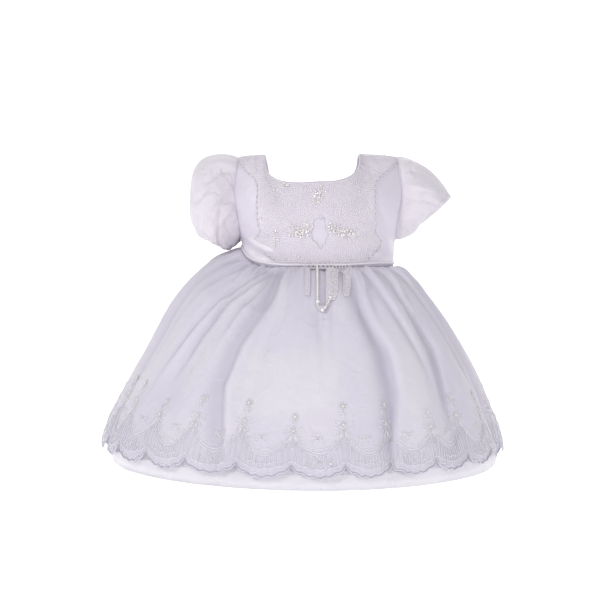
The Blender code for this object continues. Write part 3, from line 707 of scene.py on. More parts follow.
# Creases of the skirt: each one's valley angle at six levels, its depth, the widths of its soft left and
# crisp right flanks in millimetres, and the shares of the way down between which it runs.
CREASE_LEVELS = (0.04, 0.18, 0.31, 0.47, 0.64, 0.85)
SKIRT_CREASES = (
    (-20.4, -21.3, -24.2, -28.8, -30.4, -26.4, 7.0, 12.0, 3.2, 0.0, 1.1),
    (-27.0, -36.0, -41.6, -46.4, -50.0, -52.0, 3.6, 7.0, 2.4, 0.0, 0.75),
    (-11.8, -13.6, -15.0, -16.0, -17.0, -18.0, 2.6, 4.0, 1.6, 0.0, 0.26),
    (-33.0, -41.8, -47.0, -52.2, -57.0, -60.0, 3.0, 6.0, 2.2, 0.0, 0.8),
    (-24.0, -29.0, -33.5, -37.0, -40.0, -42.0, 2.4, 5.0, 1.8, 0.0, 0.6),
    (14.6, 17.4, 21.5, 26.0, 26.0, 22.0, 5.8, 10.0, 3.0, 0.0, 1.1),
    (41.0, 43.0, 47.6, 49.8, 47.0, 45.0, 4.0, 8.0, 2.6, 0.0, 0.9),
    (25.0, 31.0, 35.8, 39.4, 41.0, 42.0, 3.0, 6.0, 2.2, 0.0, 0.7),
    (-1.5, -0.8, -0.4, 0.2, 1.0, 2.0, 2.6, 5.0, 2.4, 0.22, 0.55),
    (-66, -69, -71, -72, -73, -74, 3.6, 8.0, 2.6, 0.0, 1.1),
    (-50, -57, -61, -64, -66, -67, 2.6, 6.0, 2.0, 0.0, 0.7),
    (57, 60, 62, 64, 65, 66, 3.2, 7.0, 2.4, 0.0, 0.8),
    (72, 73, 74, 74, 73, 72, 3.6, 8.0, 2.6, 0.05, 1.1),
    (86, 89, 91, 92, 92, 91, 2.6, 6.0, 2.2, 0.0, 0.7),
    (100, 103, 106, 108, 109, 109, 4.0, 8.0, 2.6, 0.0, 1.1),
    (118, 120, 121, 121, 120, 119, 2.4, 5.0, 2.0, 0.0, 0.5),
    (126, 128, 130, 131, 131, 131, 4.4, 8.0, 2.6, 0.0, 1.1),
    (148, 151, 153, 155, 156, 156, 4.0, 8.0, 2.6, 0.0, 1.0),
    (164, 165, 166, 167, 168, 169, 2.4, 5.0, 2.0, 0.0, 0.6),
    (176, 177, 178, 179, 180, 180, 4.6, 8.0, 2.8, 0.0, 1.1),
    (194, 195, 195, 194, 193, 192, 2.6, 6.0, 2.0, 0.0, 0.6),
    (208, 207, 206, 206, 206, 206, 4.2, 8.0, 2.6, 0.0, 1.1),
    (230, 231, 233, 234, 234, 234, 4.0, 8.0, 2.6, 0.0, 1.0),
    (244, 245, 246, 246, 245, 244, 2.4, 6.0, 2.0, 0.0, 0.55),
    (254, 256, 258, 259, 259, 259, 3.6, 8.0, 2.6, 0.0, 1.1),
    (266, 268, 270, 271, 271, 270, 2.6, 6.0, 2.0, 0.0, 0.7),
)


def skirt_creases(angle, down):
    """Valleys with a soft flank on the left and a crisp one on the right, negative inwards."""
    relief = np.zeros_like(angle)
    per_degree = np.radians(78.0 + 128.0 * np.clip(down, 0, 1))
    for *centres, depth, soft, crisp, start, end in SKIRT_CREASES:
        away = away_from(angle, np.interp(down, CREASE_LEVELS, centres)) * per_degree
        valley = np.exp(-(np.where(away < 0, away / soft, away / crisp) ** 2))
        ridge = 0.35 * np.exp(-(((away - 2.6 * crisp) / (2 * crisp)) ** 2))
        opens = fade(-down, -start - 0.12, -start) if start > 0 else fade(-down, -0.05, 0.0)
        relief = relief - depth * opens * fade(down, end - 0.3, end) * (valley - ridge)
    return relief


# Patches of painted sheen, a painted highlight for the satin below gleaming through the organza: middle angle
# and share of the way down, half-width in degrees, half-height, strength.
GLEAMS = (
    (-13, 0.62, 14, 0.125, 1.0),
    (0, 0.57, 6.5, 0.13, 1.0),
    (16, 0.60, 3.5, 0.16, 0.5),
    (33, 0.60, 6, 0.15, 0.75),
    (-42, 0.60, 4, 0.12, 0.6),
    (-62, 0.55, 5, 0.2, 0.6),
    (-17, 0.24, 3, 0.12, 0.6),
    (9, 0.22, 4, 0.12, 0.6),
    (40, 0.30, 2.6, 0.12, 0.5),
    (62, 0.62, 6, 0.2, 0.5),
    (95, 0.5, 7, 0.2, 0.8),
    (118, 0.62, 6, 0.15, 0.8),
    (143, 0.55, 7, 0.16, 1.0),
    (170, 0.6, 6, 0.14, 0.7),
    (197, 0.52, 6, 0.16, 0.9),
    (222, 0.6, 8, 0.13, 1.0),
    (250, 0.5, 6, 0.18, 0.8),
)


def gleam_of(angle, down):
    """How strongly painted sheen lightens the organza, from 0 to 1, in patches with uneven edges: a painted
    highlight for the satin below gleaming through.
    """
    turn = np.radians(angle)
    waver = 0.10 * np.sin(turn * 23 + down * 17) + 0.08 * np.sin(turn * 41 - down * 31)
    waver = waver + 0.06 * np.sin(down * 53 + turn * 9)
    total = np.zeros_like(angle)
    for middle, level, wide, tall, strength in GLEAMS:
        reach = np.abs(away_from(angle, middle) / wide) ** 2.6 + np.abs((down - level) / tall) ** 2.6
        total = np.maximum(total, strength * fade(reach ** (1 / 2.6) + waver, 0.72, 1.12))
    return total


def set_value(body, name, values):
    """Stores a value at each outer point; the inner wall repeats them."""
    layer = body.data.attributes.new(name, "FLOAT", "POINT")
    layer.data.foreach_set("value", np.resize(values.ravel(), len(body.data.vertices)).astype(np.float32))


SKIRT_PANELS = (
    ("front", -90, 90, 1.0, [(1, -1)], "bodice_front"),
    ("back_right", 90, 180, 0.5, [(1, 1), (0, 1)], "bodice_back_right"),
    ("back_left", 180, 270, 0.5, [(1, 1), (0, -1)], "bodice_back_left"),
)


def build_overskirt(side, start, end, half, limits):
    angle, share = np.meshgrid(np.linspace(start, end, int(360 * half) + 1), np.linspace(0, 1, 76) ** 1.15)
    down = share * edge_down(angle)
    fold = skirt_creases(angle, down)
    smooth_middle = 1 - 0.92 * np.exp(-(((angle - 5) / 13.0) ** 4))
    relief = fine_ripples(angle, down, 150, 1.9, 0.01, 0.24, 3) * smooth_middle
    relief = relief - fine_ripples(angle, down, 70, 0.9, 0.3, 1.0, 5) + fold
    relief = relief * fade(-down, -0.015, 0) + 0.1
    name = f"overskirt_{side}"
    body = cloth_shell(f"{name}_organza", skirt, (angle, down), -1, ORGANZA, 0.6, relief, ROUND, limits)
    # Painted highlight: the organza's colour is lightened in the sheen patches.
    set_value(body, "gleam", 0.6 * gleam_of(angle, down)[:, ::-1])
    # The shade value darkens the organza. In the crease valleys it is painted shade. In the border's band
    # below the swags, with its ribs, it is the dense embroidery's own darker tone.
    ribs = 0.75 + 0.25 * np.cos(np.radians(angle * SCALLOPS * 9))
    border = 0.75 * fade(swag_down(angle) - down, -0.006, 0.004) * ribs
    set_value(body, "shade", np.maximum(border, np.clip(-fold / 7.0, 0, 0.7))[:, ::-1])
    attach(body, "organza", name)


def build_underskirt(side, start, end, half, limits):
    angle, down = np.meshgrid(np.linspace(start, end, int(200 * half) + 1), np.linspace(0, 1, 48))
    relief = skirt_creases(angle, down) * (1 - 0.45 * fade(-down, -0.95, -0.8))
    relief = relief - fine_ripples(angle, down, 50, 0.8, 0.1, 1.0, 9) * fade(-down, -0.02, 0)
    name = f"underskirt_{side}"
    body = cloth_shell(
        f"{name}_satin", underskirt, (angle, down), -1, UNDER_SATIN, 0.8, relief, ROUND, limits
    )
    attach(body, "satin", name)


SLEEVE_CREASES = {
    -1: (
        (-94, -22, -128, -40, -2.0, 3.2, 3.0),
        (-92, -40, -134, -66, 1.6, 4.0, 4.0),
        (-92, -52, -126, -80, -1.8, 3.0, 3.0),
        (-96, -70, -118, -98, 1.4, 3.0, 2.0),
        (-100, -12, -126, -20, 1.6, 3.0, 2.0),
        (-118, -34, -136, -60, -1.4, 3.0, -2.0),
        (-104, -58, -110, -104, -1.4, 2.6, 2.0),
        (-124, -70, -128, -98, -1.2, 2.6, -1.5),
        (-90, -66, -104, -84, -1.3, 2.2, 1.0),
    ),
    1: (
        (92, -22, 132, -34, -1.5, 3.0, -3.0),
        (92, -40, 138, -50, 1.2, 3.6, -3.0),
        (92, -58, 132, -60, -1.4, 3.0, -3.0),
        (94, -78, 120, -74, 1.0, 2.6, -2.0),
        (110, -86, 126, -66, -1.6, 2.4, 1.5),
        (96, -12, 124, -22, 1.0, 2.6, -2.0),
    ),
}


SLEEVES = (
    ("left", -1, SLEEVE_LEFT, 2.2, 1.5, 0.018),
    ("right", 1, SLEEVE_RIGHT, 1.0, 0.9, 0.013),
)
PUCKERS = 10


def build_sleeves():
    for half, side, rows, pucker_height, gather_height, cut_area in SLEEVES:
        surface = sleeve_of(rows, side, PUCKERS, pucker_height)
        around, out = np.meshgrid(np.linspace(0, 360, 193)[:-1], np.linspace(0, 1, 64))
        dice = np.random.default_rng(20 + side)
        relief = np.zeros_like(around)
        for _ in range(46):
            centre, width = dice.uniform(0, 360), dice.uniform(2.0, 4.5)
            gather = np.exp(-((away_from(around, centre) / width) ** 2)) * dice.uniform(0.4, 1.0)
            at_cap = dice.random() < 0.5
            gathered_share = fade(out, 0.03, 0.35) if at_cap else fade(1 - out, 0.03, 0.4)
            relief = relief + gather_height * gather * gathered_share
        relief = relief + creases(surface(around, out), SLEEVE_CREASES[side])
        relief = relief * fade(-out, -0.04, 0) - 0.7 * np.exp(-(((out - 0.93) / 0.012) ** 2))
        name = f"sleeve_{half}"
        body = cloth_shell(
            f"{name}_organza", surface, (around, out), side, SLEEVE_CLOTH, 0.7, relief, closed=True
        )
        attach(body, "organza", name)


def stitched(threads, points, direction, lift, length=2.0, gap=1.1, radius=0.22):
    """A run of short stitches along a line of points."""
    far = run_length(points)
    for start in np.arange(gap, far[-1] - length, length + gap):
        at = start + length * np.array([0.0, 0.3, 0.7, 1.0])
        line = np.stack([np.interp(at, far, points[:, i]) for i in range(3)], -1)
        out = np.stack([np.interp(at, far, direction[:, i]) for i in range(3)], -1)
        arch = lift + radius * np.array([-0.9, 0.6, 0.6, -0.9])
        threads.add(line + out * arch[:, None], out, radius)


def add_armhole_seam(binding, threads, side):
    x, half_depth, z = armhole(side, np.linspace(0, 1, 90))
    x, z = np.append(x, x[-2:0:-1]), np.append(z, z[-2:0:-1])
    y = np.append(-half_depth, half_depth[-2:0:-1])
    ring = np.stack([x + side * 0.35, y, z], -1)
    out = ring - ring.mean(axis=0)
    out[:, 0] = 0
    out = unit(out)
    binding.add(ring + out * 0.35, out, 0.75, True)
    inward = ring - np.array([side * 3.0, 0, 0])
    for half in (y < 0, y > 0):
        kept = half & (np.abs(y) > 1)
        stitched(threads, inward[kept], out[kept], 0.3)


def build_seams():
    """Narrow self-cloth bindings at the neck and armholes, and the stitches beside them and at the hems."""
    binding, threads = Threads(6), Threads()
    for side in (-1, 1):
        add_armhole_seam(binding, threads, side)
    for back, start, end in (
        (False, -NECK_COLUMN, NECK_COLUMN), (True, -NECK_COLUMN, -0.004), (True, 0.004, NECK_COLUMN)
    ):
        points, direction = torso_run(np.linspace(start, end, 160), 0.998, back)
        binding.add(clear_of_sides(points, back) - direction * 0.2, direction, 0.6)
        if back:
            points, direction = torso_run(np.linspace(start, end, 160), 0.965, back)
            stitched(threads, clear_of_sides(points, back), direction, 0.1)
    for start, end in ((-89.7, 89.7), (90.3, 179.7), (180.3, 269.7)):
        angle, down = np.linspace(start, end, 400), np.full(400, 0.955)
        direction = normals(underskirt, angle, down, ROUND, -1)
        points = underskirt(angle, down) + direction * (skirt_creases(angle, down) * 0.55)[:, None]
        stitched(threads, points, direction, 0.1, 2.4, 1.4, 0.2)
    for _, side, rows, pucker_height, *_ in SLEEVES:
        surface = sleeve_of(rows, side, PUCKERS, pucker_height)
        around, out = np.linspace(0, 360, 240), np.full(240, 0.93)
        direction = normals(surface, around, out, ROUND, side)
        stitched(threads, surface(around, out), direction, -0.3, 1.8, 1.0)
    attach(binding.build("seam_binding", SATIN), "satin")
    attach(threads.build("seam_stitches", SEWING), "satin")


PLACKET_HALF_WIDTH, PLACKET_FOOT, PLACKET_HEAD, PLACKET_GAP = 8.0, 0.02, 0.97, 0.4
BUTTON_HEIGHTS, BUTTON_RADIUS, BUTTON_THICK, BUTTON_LIFT = (0.12, 0.45, 0.85), 5.0, 2.4, 1.95
BUTTON_SPOKES = 32
BUTTON_PROFILE = table(
    "radius lift",
    (0.02, 0.0),
    (0.6, 0.0),
    (0.92, 0.16),
    (1.0, 0.36),
    (0.97, 0.55),
    (0.88, 0.66),
    (0.8, 0.66),
    (0.66, 0.78),
    (0.45, 0.92),
    (0.2, 0.99),
    (0.02, 1.0),
)


def build_button(number, turn, threads):
    """A domed button with a rolled rim, its buttonhole's two corded edges and its shank."""
    place = np.array(0.0), np.array(turn)
    out, foot = normals(back_of_torso, *place, PANEL, -1), back_of_torso(*place)
    side = np.array([1.0, 0.0, 0.0])
    upward = np.cross(out, side)
    around = loop(BUTTON_SPOKES)[:, None]
    spoke = np.cos(around) * side + np.sin(around) * upward
    radius, lift = (BUTTON_PROFILE[name][:, None, None] for name in ("radius", "lift"))
    rings = foot + spoke * radius * BUTTON_RADIUS + out * (BUTTON_LIFT + lift * BUTTON_THICK)
    faces = tube_faces(len(rings), BUTTON_SPOKES)[:, ::-1]
    body = mesh_object(f"back_button_{number}_pearl", rings.reshape(-1, 3), faces, PEARL)
    attach(body, "pearl_plastic", f"back_button_{number}")
    for edge in (-0.55, 0.55):
        line = foot + side * np.linspace(-6.6, 6.6, 20)[:, None] + upward * edge + out * 1.35
        threads.add(line, np.tile(out, (20, 1)), 0.3)
    threads.add(foot + out * np.linspace(1.2, 2.2, 4)[:, None], np.tile(side, (4, 1)), 0.8)


def build_closure():
    """The band down the middle of the back, its stitches, buttonholes and three buttons."""
    back_turn = panel(np.array(0.0), np.array(1.0), True)[1]
    rows = np.linspace(PLACKET_FOOT, PLACKET_HEAD, 90)
    x, up = np.meshgrid(np.linspace(-1, 1, 21) * PLACKET_HALF_WIDTH, rows)
    place = across_at(x, up * back_turn), up * back_turn
    direction, base = normals(back_of_torso, *place, PANEL, -1), back_of_torso(*place)
    pull = sum(np.exp(-(((up - height) / 0.03) ** 2)) for height in BUTTON_HEIGHTS)
    relief = 1.5 - 0.45 * pull * np.exp(-((x / 4.5) ** 2)) + 0.12 * np.sin(up * 40 + x * 0.2)
    relief = relief - 0.5 * (np.abs(x) / PLACKET_HALF_WIDTH) ** 6
    outer, inner = base + direction * relief[..., None], base + direction * (PLACKET_GAP + 0.1)
    band = shell("back_placket_satin", outer[:, ::-1], inner[:, ::-1], False, SATIN)
    attach(band, "satin", "back_placket")
    threads = Threads()
    for column in (1, 19):
        stitched(threads, outer[:, column], direction[:, column], 0.05)
    for number, height in enumerate(BUTTON_HEIGHTS, 1):
        build_button(number, height * back_turn, threads)
    attach(threads.build("placket_stitches", SEWING), "satin")


# Lace: motifs are drawn on a flat plan of the cloth, in millimetres, and laid on it

LACE_LIFT, SKIRT_LACE_LIFT = 0.75, 0.35
# How far the skirt's cords and its motifs stay from the side seams.
CORD_CLEAR, MOTIF_CLEAR = 0.2, 0.15


class BodicePlan:
    """Flat plan of the bodice's front: s runs across from the middle and t up from the waist."""

    def __init__(self):
        self.x, self.turn = np.linspace(-101, 101, 800), np.linspace(0, 90, 600)
        level = np.full(800, 38.0)
        length = run_length(front_of_torso(across_at(self.x, level), level))
        self.s = length - np.interp(0, self.x, length)
        self.t = run_length(front_of_torso(np.zeros(600), self.turn))

    def lay(self, s, t, lift):
        turn, x = np.interp(t, self.t, self.turn), np.interp(s, self.s, self.x)
        limit = 0.995 * along(TORSO, "half_width", rise_of(turn), "rise")
        place = across_at(np.clip(x, -limit, limit), turn), turn
        direction = normals(front_of_torso, *place, PANEL, 1)
        return kept_to(front_of_torso(*place) + direction * (LACE_LIFT + lift), FRONT_Y), direction

    def flat(self, across, turn):
        x = front_of_torso(across, turn)[..., 0]
        return np.stack([np.interp(x, self.x, self.s), np.interp(turn, self.turn, self.t)], -1)

    def seen(self, x, z):
        """The plan's place of a point of the front view."""
        rise = (z - WAIST_Z) / (-SHOULDER_SLOPE * abs(x) - WAIST_Z)
        turn = math.degrees(math.asin(min(rise, 1) ** (SHOULDER_SQUARENESS / 2)))
        return float(np.interp(x, self.x, self.s)), float(np.interp(turn, self.turn, self.t))


def on_skirt(angle, down, lift, clear=CORD_CLEAR):
    """Points laid on the overskirt's creased cloth, and the directions out of it."""
    direction = normals(skirt, angle, down, ROUND, -1)
    points = skirt(angle, down) + direction * (SKIRT_LACE_LIFT + lift + skirt_creases(angle, down))[..., None]
    front = (angle + 90) % 360 < 180
    points[..., 1] = np.where(front, np.minimum(points[..., 1], -clear), np.maximum(points[..., 1], clear))
    return points, direction


class SkirtPlan:
    """Flat plan of a stretch of the overskirt: s runs round from a middle angle and t down from a level."""

    def __init__(self, middle, level):
        self.middle, self.level = middle, level
        across = ungathered(middle + np.array([-1.0, 1.0]), np.full(2, level))
        downward = ungathered(np.full(2, middle), level + np.array([-0.01, 0.01]))
        self.per_degree, self.per_down = run_length(across)[1] / 2, run_length(downward)[1] / 0.02

    def lay(self, s, t, lift):
        return on_skirt(self.middle + s / self.per_degree, self.level + t / self.per_down, lift, MOTIF_CLEAR)


def turned(s, t, angle):
    cosine, sine = math.cos(angle), math.sin(angle)
    return s * cosine - t * sine, s * sine + t * cosine


class Lace:
    """Cords, pearls and sequins laid on a plan."""

    def __init__(self):
        self.cords, self.pearls, self.sequins = Threads(), Beads(5), Beads(4)

    def cord(self, plan, s, t, radius=0.42, closed=False, lift=0.0):
        self.cords.add(*plan.lay(s, t, lift), radius, closed)

    def pearl(self, plan, s, t, radius=0.9, lift=0.3, flat=1.0):
        point, direction = plan.lay(np.array([s]), np.array([t]), lift + radius * 0.6)
        self.pearls.add(point[0], radius, direction[0], flat)

    def sequin(self, plan, s, t, radius):
        point, direction = plan.lay(np.array([s]), np.array([t]), 0.7)
        self.sequins.add(point[0], radius, unit(direction[0] + rng.normal(0, 0.25, 3)), 0.35)

    def flower(self, plan, s, t, size, petals, facing=0.0, heart=True):
        around = loop(petals * 8)
        for share, lift in ((1.0, 0.0), (0.66, 0.15)):
            reach = size * share * (0.52 + 0.48 * np.abs(np.cos(around * petals / 2)) ** 0.8)
            u, v = turned(reach * np.cos(around), reach * np.sin(around), facing)
            self.cord(plan, s + u, t + v, 0.4, True, lift)
        if heart:
            for angle in loop(6):
                self.pearl(plan, s + size * 0.24 * math.cos(angle), t + size * 0.24 * math.sin(angle), 0.62)
            self.pearl(plan, s, t, 0.85)

    def leaf(self, plan, s, t, length, width, facing, rings=2):
        """Nested pointed loops, from a foot at (s, t)."""
        for ring in range(rings):
            share = 1 - ring * 0.36
            around = loop(max(12, int(length * share * 2.4)))
            u = length * (0.5 + 0.5 * share * np.cos(around)) - length * 0.04 * ring
            v = width * share * np.sin(around) * (0.55 + 0.45 * np.cos(around / 2) ** 2)
            u, v = turned(u, v, facing)
            self.cord(plan, s + u, t + v, 0.38, True, 0.05 * ring)

    def scroll(self, plan, s, t, size, facing, hand=1):
        """A stem that curls at its end."""
        run = np.linspace(0, 1, int(size * 4) + 10)
        bend = facing + hand * (0.4 * run + 5.2 * run**2.6)
        step = size * 2.3 / len(run) * (1 - 0.55 * run)
        self.cord(plan, s + np.cumsum(np.cos(bend) * step), t + np.cumsum(np.sin(bend) * step), 0.45)

    def ring(self, plan, wide, tall, count, radius=0.4, lift=0.0):
        around = loop(count)
        self.cord(plan, wide * np.cos(around), tall * np.sin(around), radius, True, lift)

    def build(self, name, thread):
        attach(self.cords.build(f"{name}_cords", thread), "lace")
        attach(self.pearls.build(f"{name}_pearls", PEARL), "lace")
        attach(self.sequins.build(f"{name}_sequins", SEQUIN), "lace")


GAP_SHARE, GAP_UP, GAP_HALF_SHARE, GAP_HALF_UP = 0.5156, 0.262, 0.037, 0.158


def applique_place(share, up):
    left, right = along(APPLIQUE, "left", up, "up"), along(APPLIQUE, "right", up, "up")
    return panel(left + (right - left) * share, up, False)


def contour_lines(field, level):
    """Lines of one height through a grid of values, as (column, row) places. NaN cells are left out."""
    above, known = field > level, ~np.isnan(field)
    cells = known[:-1, :-1] & known[1:, :-1] & known[:-1, 1:] & known[1:, 1:]
    count = above[:-1, :-1].astype(int) + above[1:, :-1] + above[:-1, 1:] + above[1:, 1:]
    links = {}
    for r, c in zip(*np.nonzero(cells & (count > 0) & (count < 4))):
        sides = (r, c, r, c + 1), (r, c, r + 1, c), (r + 1, c, r + 1, c + 1), (r, c + 1, r + 1, c + 1)
        crossed = [side for side in sides if above[side[:2]] != above[side[2:]]]
        for a, b in zip(crossed[::2], crossed[1::2]):
            links.setdefault(a, []).append(b)
            links.setdefault(b, []).append(a)

    def place(side):
        r, c, r2, c2 = side
        share = (level - field[r, c]) / (field[r2, c2] - field[r, c])
        return c + share * (c2 - c), r + share * (r2 - r)

    lines, used = [], set()
    for start in sorted(links, key=lambda side: (len(links[side]), side)):
        if start in used:
            continue
        chain, side = [], start
        while side is not None:
            used.add(side)
            chain.append(place(side))
            side = next((other for other in links[side] if other not in used), None)
        lines.append((np.array(chain), len(chain) > 5 and len(links[start]) == 2))
    return lines


def smoothed(line, closed, rounds=2):
    for _ in range(rounds):
        if closed:
            line = (np.roll(line, 1, 0) + 2 * line + np.roll(line, -1, 0)) / 4
        else:
            line[1:-1] = (line[:-2] + 2 * line[1:-1] + line[2:]) / 4
    return line


# Motifs of the applique: x and z in the front view, kind, size (a flower's is its number of petals) and turn.
MOTIFS = (
    (-1, -60, "flower", 7, 0),
    (-27, -92, "flower", 6, 15),
    (22, -92, "flower", 6, 15),
    (-48, -92, "flower", 5, 40),
    (43, -94, "flower", 5, 40),
    (-1, -122, "arch", 7, 90),
    (-29, -112, "arch", 8, 90),
    (27, -112, "arch", 8, 90),
    (-17, -72, "arch", 7, 270),
    (15, -72, "arch", 7, 270),
    (-36, -68, "arch", 7, 290),
    (34, -68, "arch", 7, 250),
    (-50, -72, "leaf", 10, 120),
    (47, -74, "leaf", 10, 60),
    (-60, -104, "leaf", 12, 70),
    (57, -106, "leaf", 12, 110),
    (-50, -112, "leaf", 11, 100),
    (48, -114, "leaf", 11, 80),
    (-48, -46, "flower", 6, 0),
    (44, -48, "flower", 6, 0),
    (-62, -56, "leaf", 11, 60),
    (58, -58, "leaf", 11, 120),
    (-60, -26, "flower", 5, 0),
    (54, -28, "flower", 5, 0),
    (-76, -16, "leaf", 10, 20),
    (70, -18, "leaf", 10, 160),
    (-16, -107, "leaf", 9, 60),
    (15, -107, "leaf", 9, 120),
)
# Clusters of pearls and sequins: x and z in the front view, number, spread across and up.
CLUSTERS = (
    (-21, -93, 48, 6.0, 2.8),
    (-11, -86, 12, 2.2, 4.0),
    (-46, -97, 9, 1.6, 4.0),
    (18, -89, 24, 3.6, 2.8),
    (30, -92, 24, 4.4, 2.8),
    (1, -49, 22, 7.0, 3.6),
    (-38, -43, 12, 4.0, 2.6),
    (-1, -60, 10, 3.0, 2.0),
)
BRIGHT_BEADS = (
    (25, -96, 2.0), (37, -94, 2.1), (32, -99, 1.3), (14, -88, 1.4), (-22, -88, 1.5), (-31, -95, 1.3)
)
CORD_PITCH, CORD_RADIUS, CELL = 2.3, 0.5, 0.5


def motif_field(kind, size, facing, s, t):
    """How far each point lies from a motif's heart, measured the way its nested outlines run."""
    if kind == "flower":
        angle = np.arctan2(t, s) - facing
        return np.hypot(s, t) * (1 - 0.24 * np.cos(angle * size))
    if kind == "leaf":
        run = np.clip(s * math.cos(facing) + t * math.sin(facing), -size / 2, size / 2)
        swell = 1.0 + 0.5 * (run / size) ** 2
        return np.hypot(s - run * math.cos(facing), t - run * math.sin(facing)) * swell
    far = np.full(s.shape, np.inf)
    for angle in np.linspace(-110, 110, 30):
        turn = facing + math.radians(angle)
        far = np.minimum(far, np.hypot(s - size * math.cos(turn), t - size * math.sin(turn)))
    return far


class AppliqueGround:
    """The applique's shape on a plan, as a grid of how much room each point has to its edge, 0 outside it."""

    def __init__(self, plan):
        low, top = APPLIQUE["up"][0], APPLIQUE["up"][-1]
        rise = np.linspace(low, top, 160)
        share = np.concatenate([np.zeros(160), np.linspace(0, 1, 200), np.ones(160), np.linspace(1, 0, 120)])
        up = np.concatenate([rise, np.full(200, top), rise[::-1], np.full(120, low)])
        edge = plan.flat(*applique_place(share, up))
        around = loop(180)
        waver = 0.96 - 0.1 * np.sin(5 * around) - 0.08 * np.sin(9 * around + 1)
        gap_share = GAP_SHARE + GAP_HALF_SHARE * waver * np.cos(around)
        self.gap = plan.flat(*applique_place(gap_share, GAP_UP + GAP_HALF_UP * waver * np.sin(around)))
        self.s, self.t = (np.arange(edge[:, i].min(), edge[:, i].max(), CELL) for i in (0, 1))
        self.grid = np.meshgrid(self.s, self.t)
        within, rim = polygon_room(edge, *self.grid)
        in_gap, from_gap = polygon_room(self.gap, *self.grid)
        self.rim = np.where(within & ~in_gap, np.minimum(rim, from_gap), 0)

    def room(self, s, t):
        return self.rim[int((t - self.t[0]) / CELL), int((s - self.s[0]) / CELL)]


def scatter_motifs(plan, ground, dice):
    """Places of the motifs: those listed, then others where there is room, most of them mirrored."""
    motifs = [(*plan.seen(x, z), kind, size, math.radians(facing)) for x, z, kind, size, facing in MOTIFS]

    def nearest(s, t):
        return min(math.hypot(motif[0] - s, motif[1] - t) for motif in motifs)

    while len(motifs) < 110:
        s, t = dice.uniform(ground.s[0], 1.0), dice.uniform(ground.t[0], ground.t[-1])
        if ground.room(s, t) < 3.5:
            if dice.random(2)[1] < 0.002:
                break
            continue
        if nearest(s, t) < 9.0:
            if dice.random() < 0.004:
                break
            continue
        kind, size = ("flower", 5) if dice.random() < 0.4 else ("leaf", dice.uniform(3, 9))
        facing = dice.uniform(0, math.pi)
        motifs.append((s, t, kind, size, facing))
        if s < -8 and ground.room(-2.0 - s, t) > 3.5 and nearest(-2.0 - s, t) > 8.0:
            motifs.append((-2.0 - s, t, kind, size, math.pi - facing))
    return motifs


def outward_of(line, closed=False):
    """Directions square to a line on a plan, on its right."""
    way = unit(np.roll(line, -1, 0) - np.roll(line, 1, 0) if closed else np.gradient(line, axis=0))
    return np.stack([way[:, 1], -way[:, 0]], -1)


def edge_applique(plan, lace, ground):
    """Picots down both sides, cords along the ends and a scalloped cord round the gap."""
    low, top = APPLIQUE["up"][0], APPLIQUE["up"][-1]
    for share, sign in ((0.0, -1), (1.0, 1)):
        line = plan.flat(*applique_place(np.full(160, share), np.linspace(low, top, 160)))
        length = run_length(line)
        run = np.linspace(0, length[-1], 420)
        line = np.stack([np.interp(run, length, line[:, i]) for i in (0, 1)], -1)
        reach = 2.0 * np.abs(np.sin(run * math.pi / 6.5)) ** 0.8 - 0.6
        lace.cord(plan, *(line + outward_of(line) * sign * reach[:, None]).T, 0.5)
    for height, offset in ((low, 0.5), (top, -0.7)):
        line = plan.flat(*applique_place(np.linspace(0, 1, 240), np.full(240, height)))
        lace.cord(plan, line[:, 0], line[:, 1] + offset, 0.55)
    reach = 0.5 + 0.9 * np.abs(np.sin(loop(180) * 5.5))
    lace.cord(plan, *(ground.gap + outward_of(ground.gap, True) * reach[:, None]).T, 0.42, True)


def build_applique():
    plan, lace, dice = BodicePlan(), Lace(), np.random.default_rng(11)
    ground = AppliqueGround(plan)
    motifs = scatter_motifs(plan, ground, dice)
    field = np.full(ground.rim.shape, 30.0)
    for s, t, kind, size, facing in motifs:
        field = np.minimum(field, motif_field(kind, size, facing, ground.grid[0] - s, ground.grid[1] - t))
    field[ground.rim < 1.0] = np.nan
    for level in np.arange(1.25, 14, CORD_PITCH):
        for line, closed in contour_lines(field, level):
            if len(line) > 6:
                line = smoothed(line, closed)[::2] * CELL + (ground.s[0], ground.t[0])
                lace.cord(plan, *line.T, CORD_RADIUS, closed, 0.1)
    for s, t, kind, *_ in motifs:
        if kind == "flower":
            lace.pearl(plan, s, t, 0.95, 0.5)
    for x, z, count, wide, tall in CLUSTERS:
        middle = plan.seen(x, z)
        for _ in range(count):
            s, t = middle[0] + dice.normal(0, wide), middle[1] + dice.normal(0, tall)
            if ground.room(s, t) < 1.5:
                continue
            if dice.random() < 0.45:
                lace.sequin(plan, s, t, dice.uniform(1.0, 1.5))
            else:
                lace.pearl(plan, s, t, dice.uniform(0.8, 1.2), 0.9)
    for x, z, radius in BRIGHT_BEADS:
        lace.pearl(plan, *plan.seen(x, z), radius, 0.9)
    edge_applique(plan, lace, ground)
    lace.build("applique", LACE_CORD)


def polygon_room(polygon, s, t):
    """Whether each point of a grid lies in a polygon, and how far it is from the polygon's edge."""
    odd, near = np.zeros(s.shape, bool), np.full(s.shape, np.inf)
    for (u, v), (u2, v2) in zip(polygon, np.roll(polygon, -1, axis=0)):
        crosses = (v > t) != (v2 > t)
        if v != v2:
            odd ^= crosses & (s < u + (u2 - u) * (t - v) / (v2 - v))
        near = np.minimum(near, np.hypot(s - u, t - v))
    return odd, near


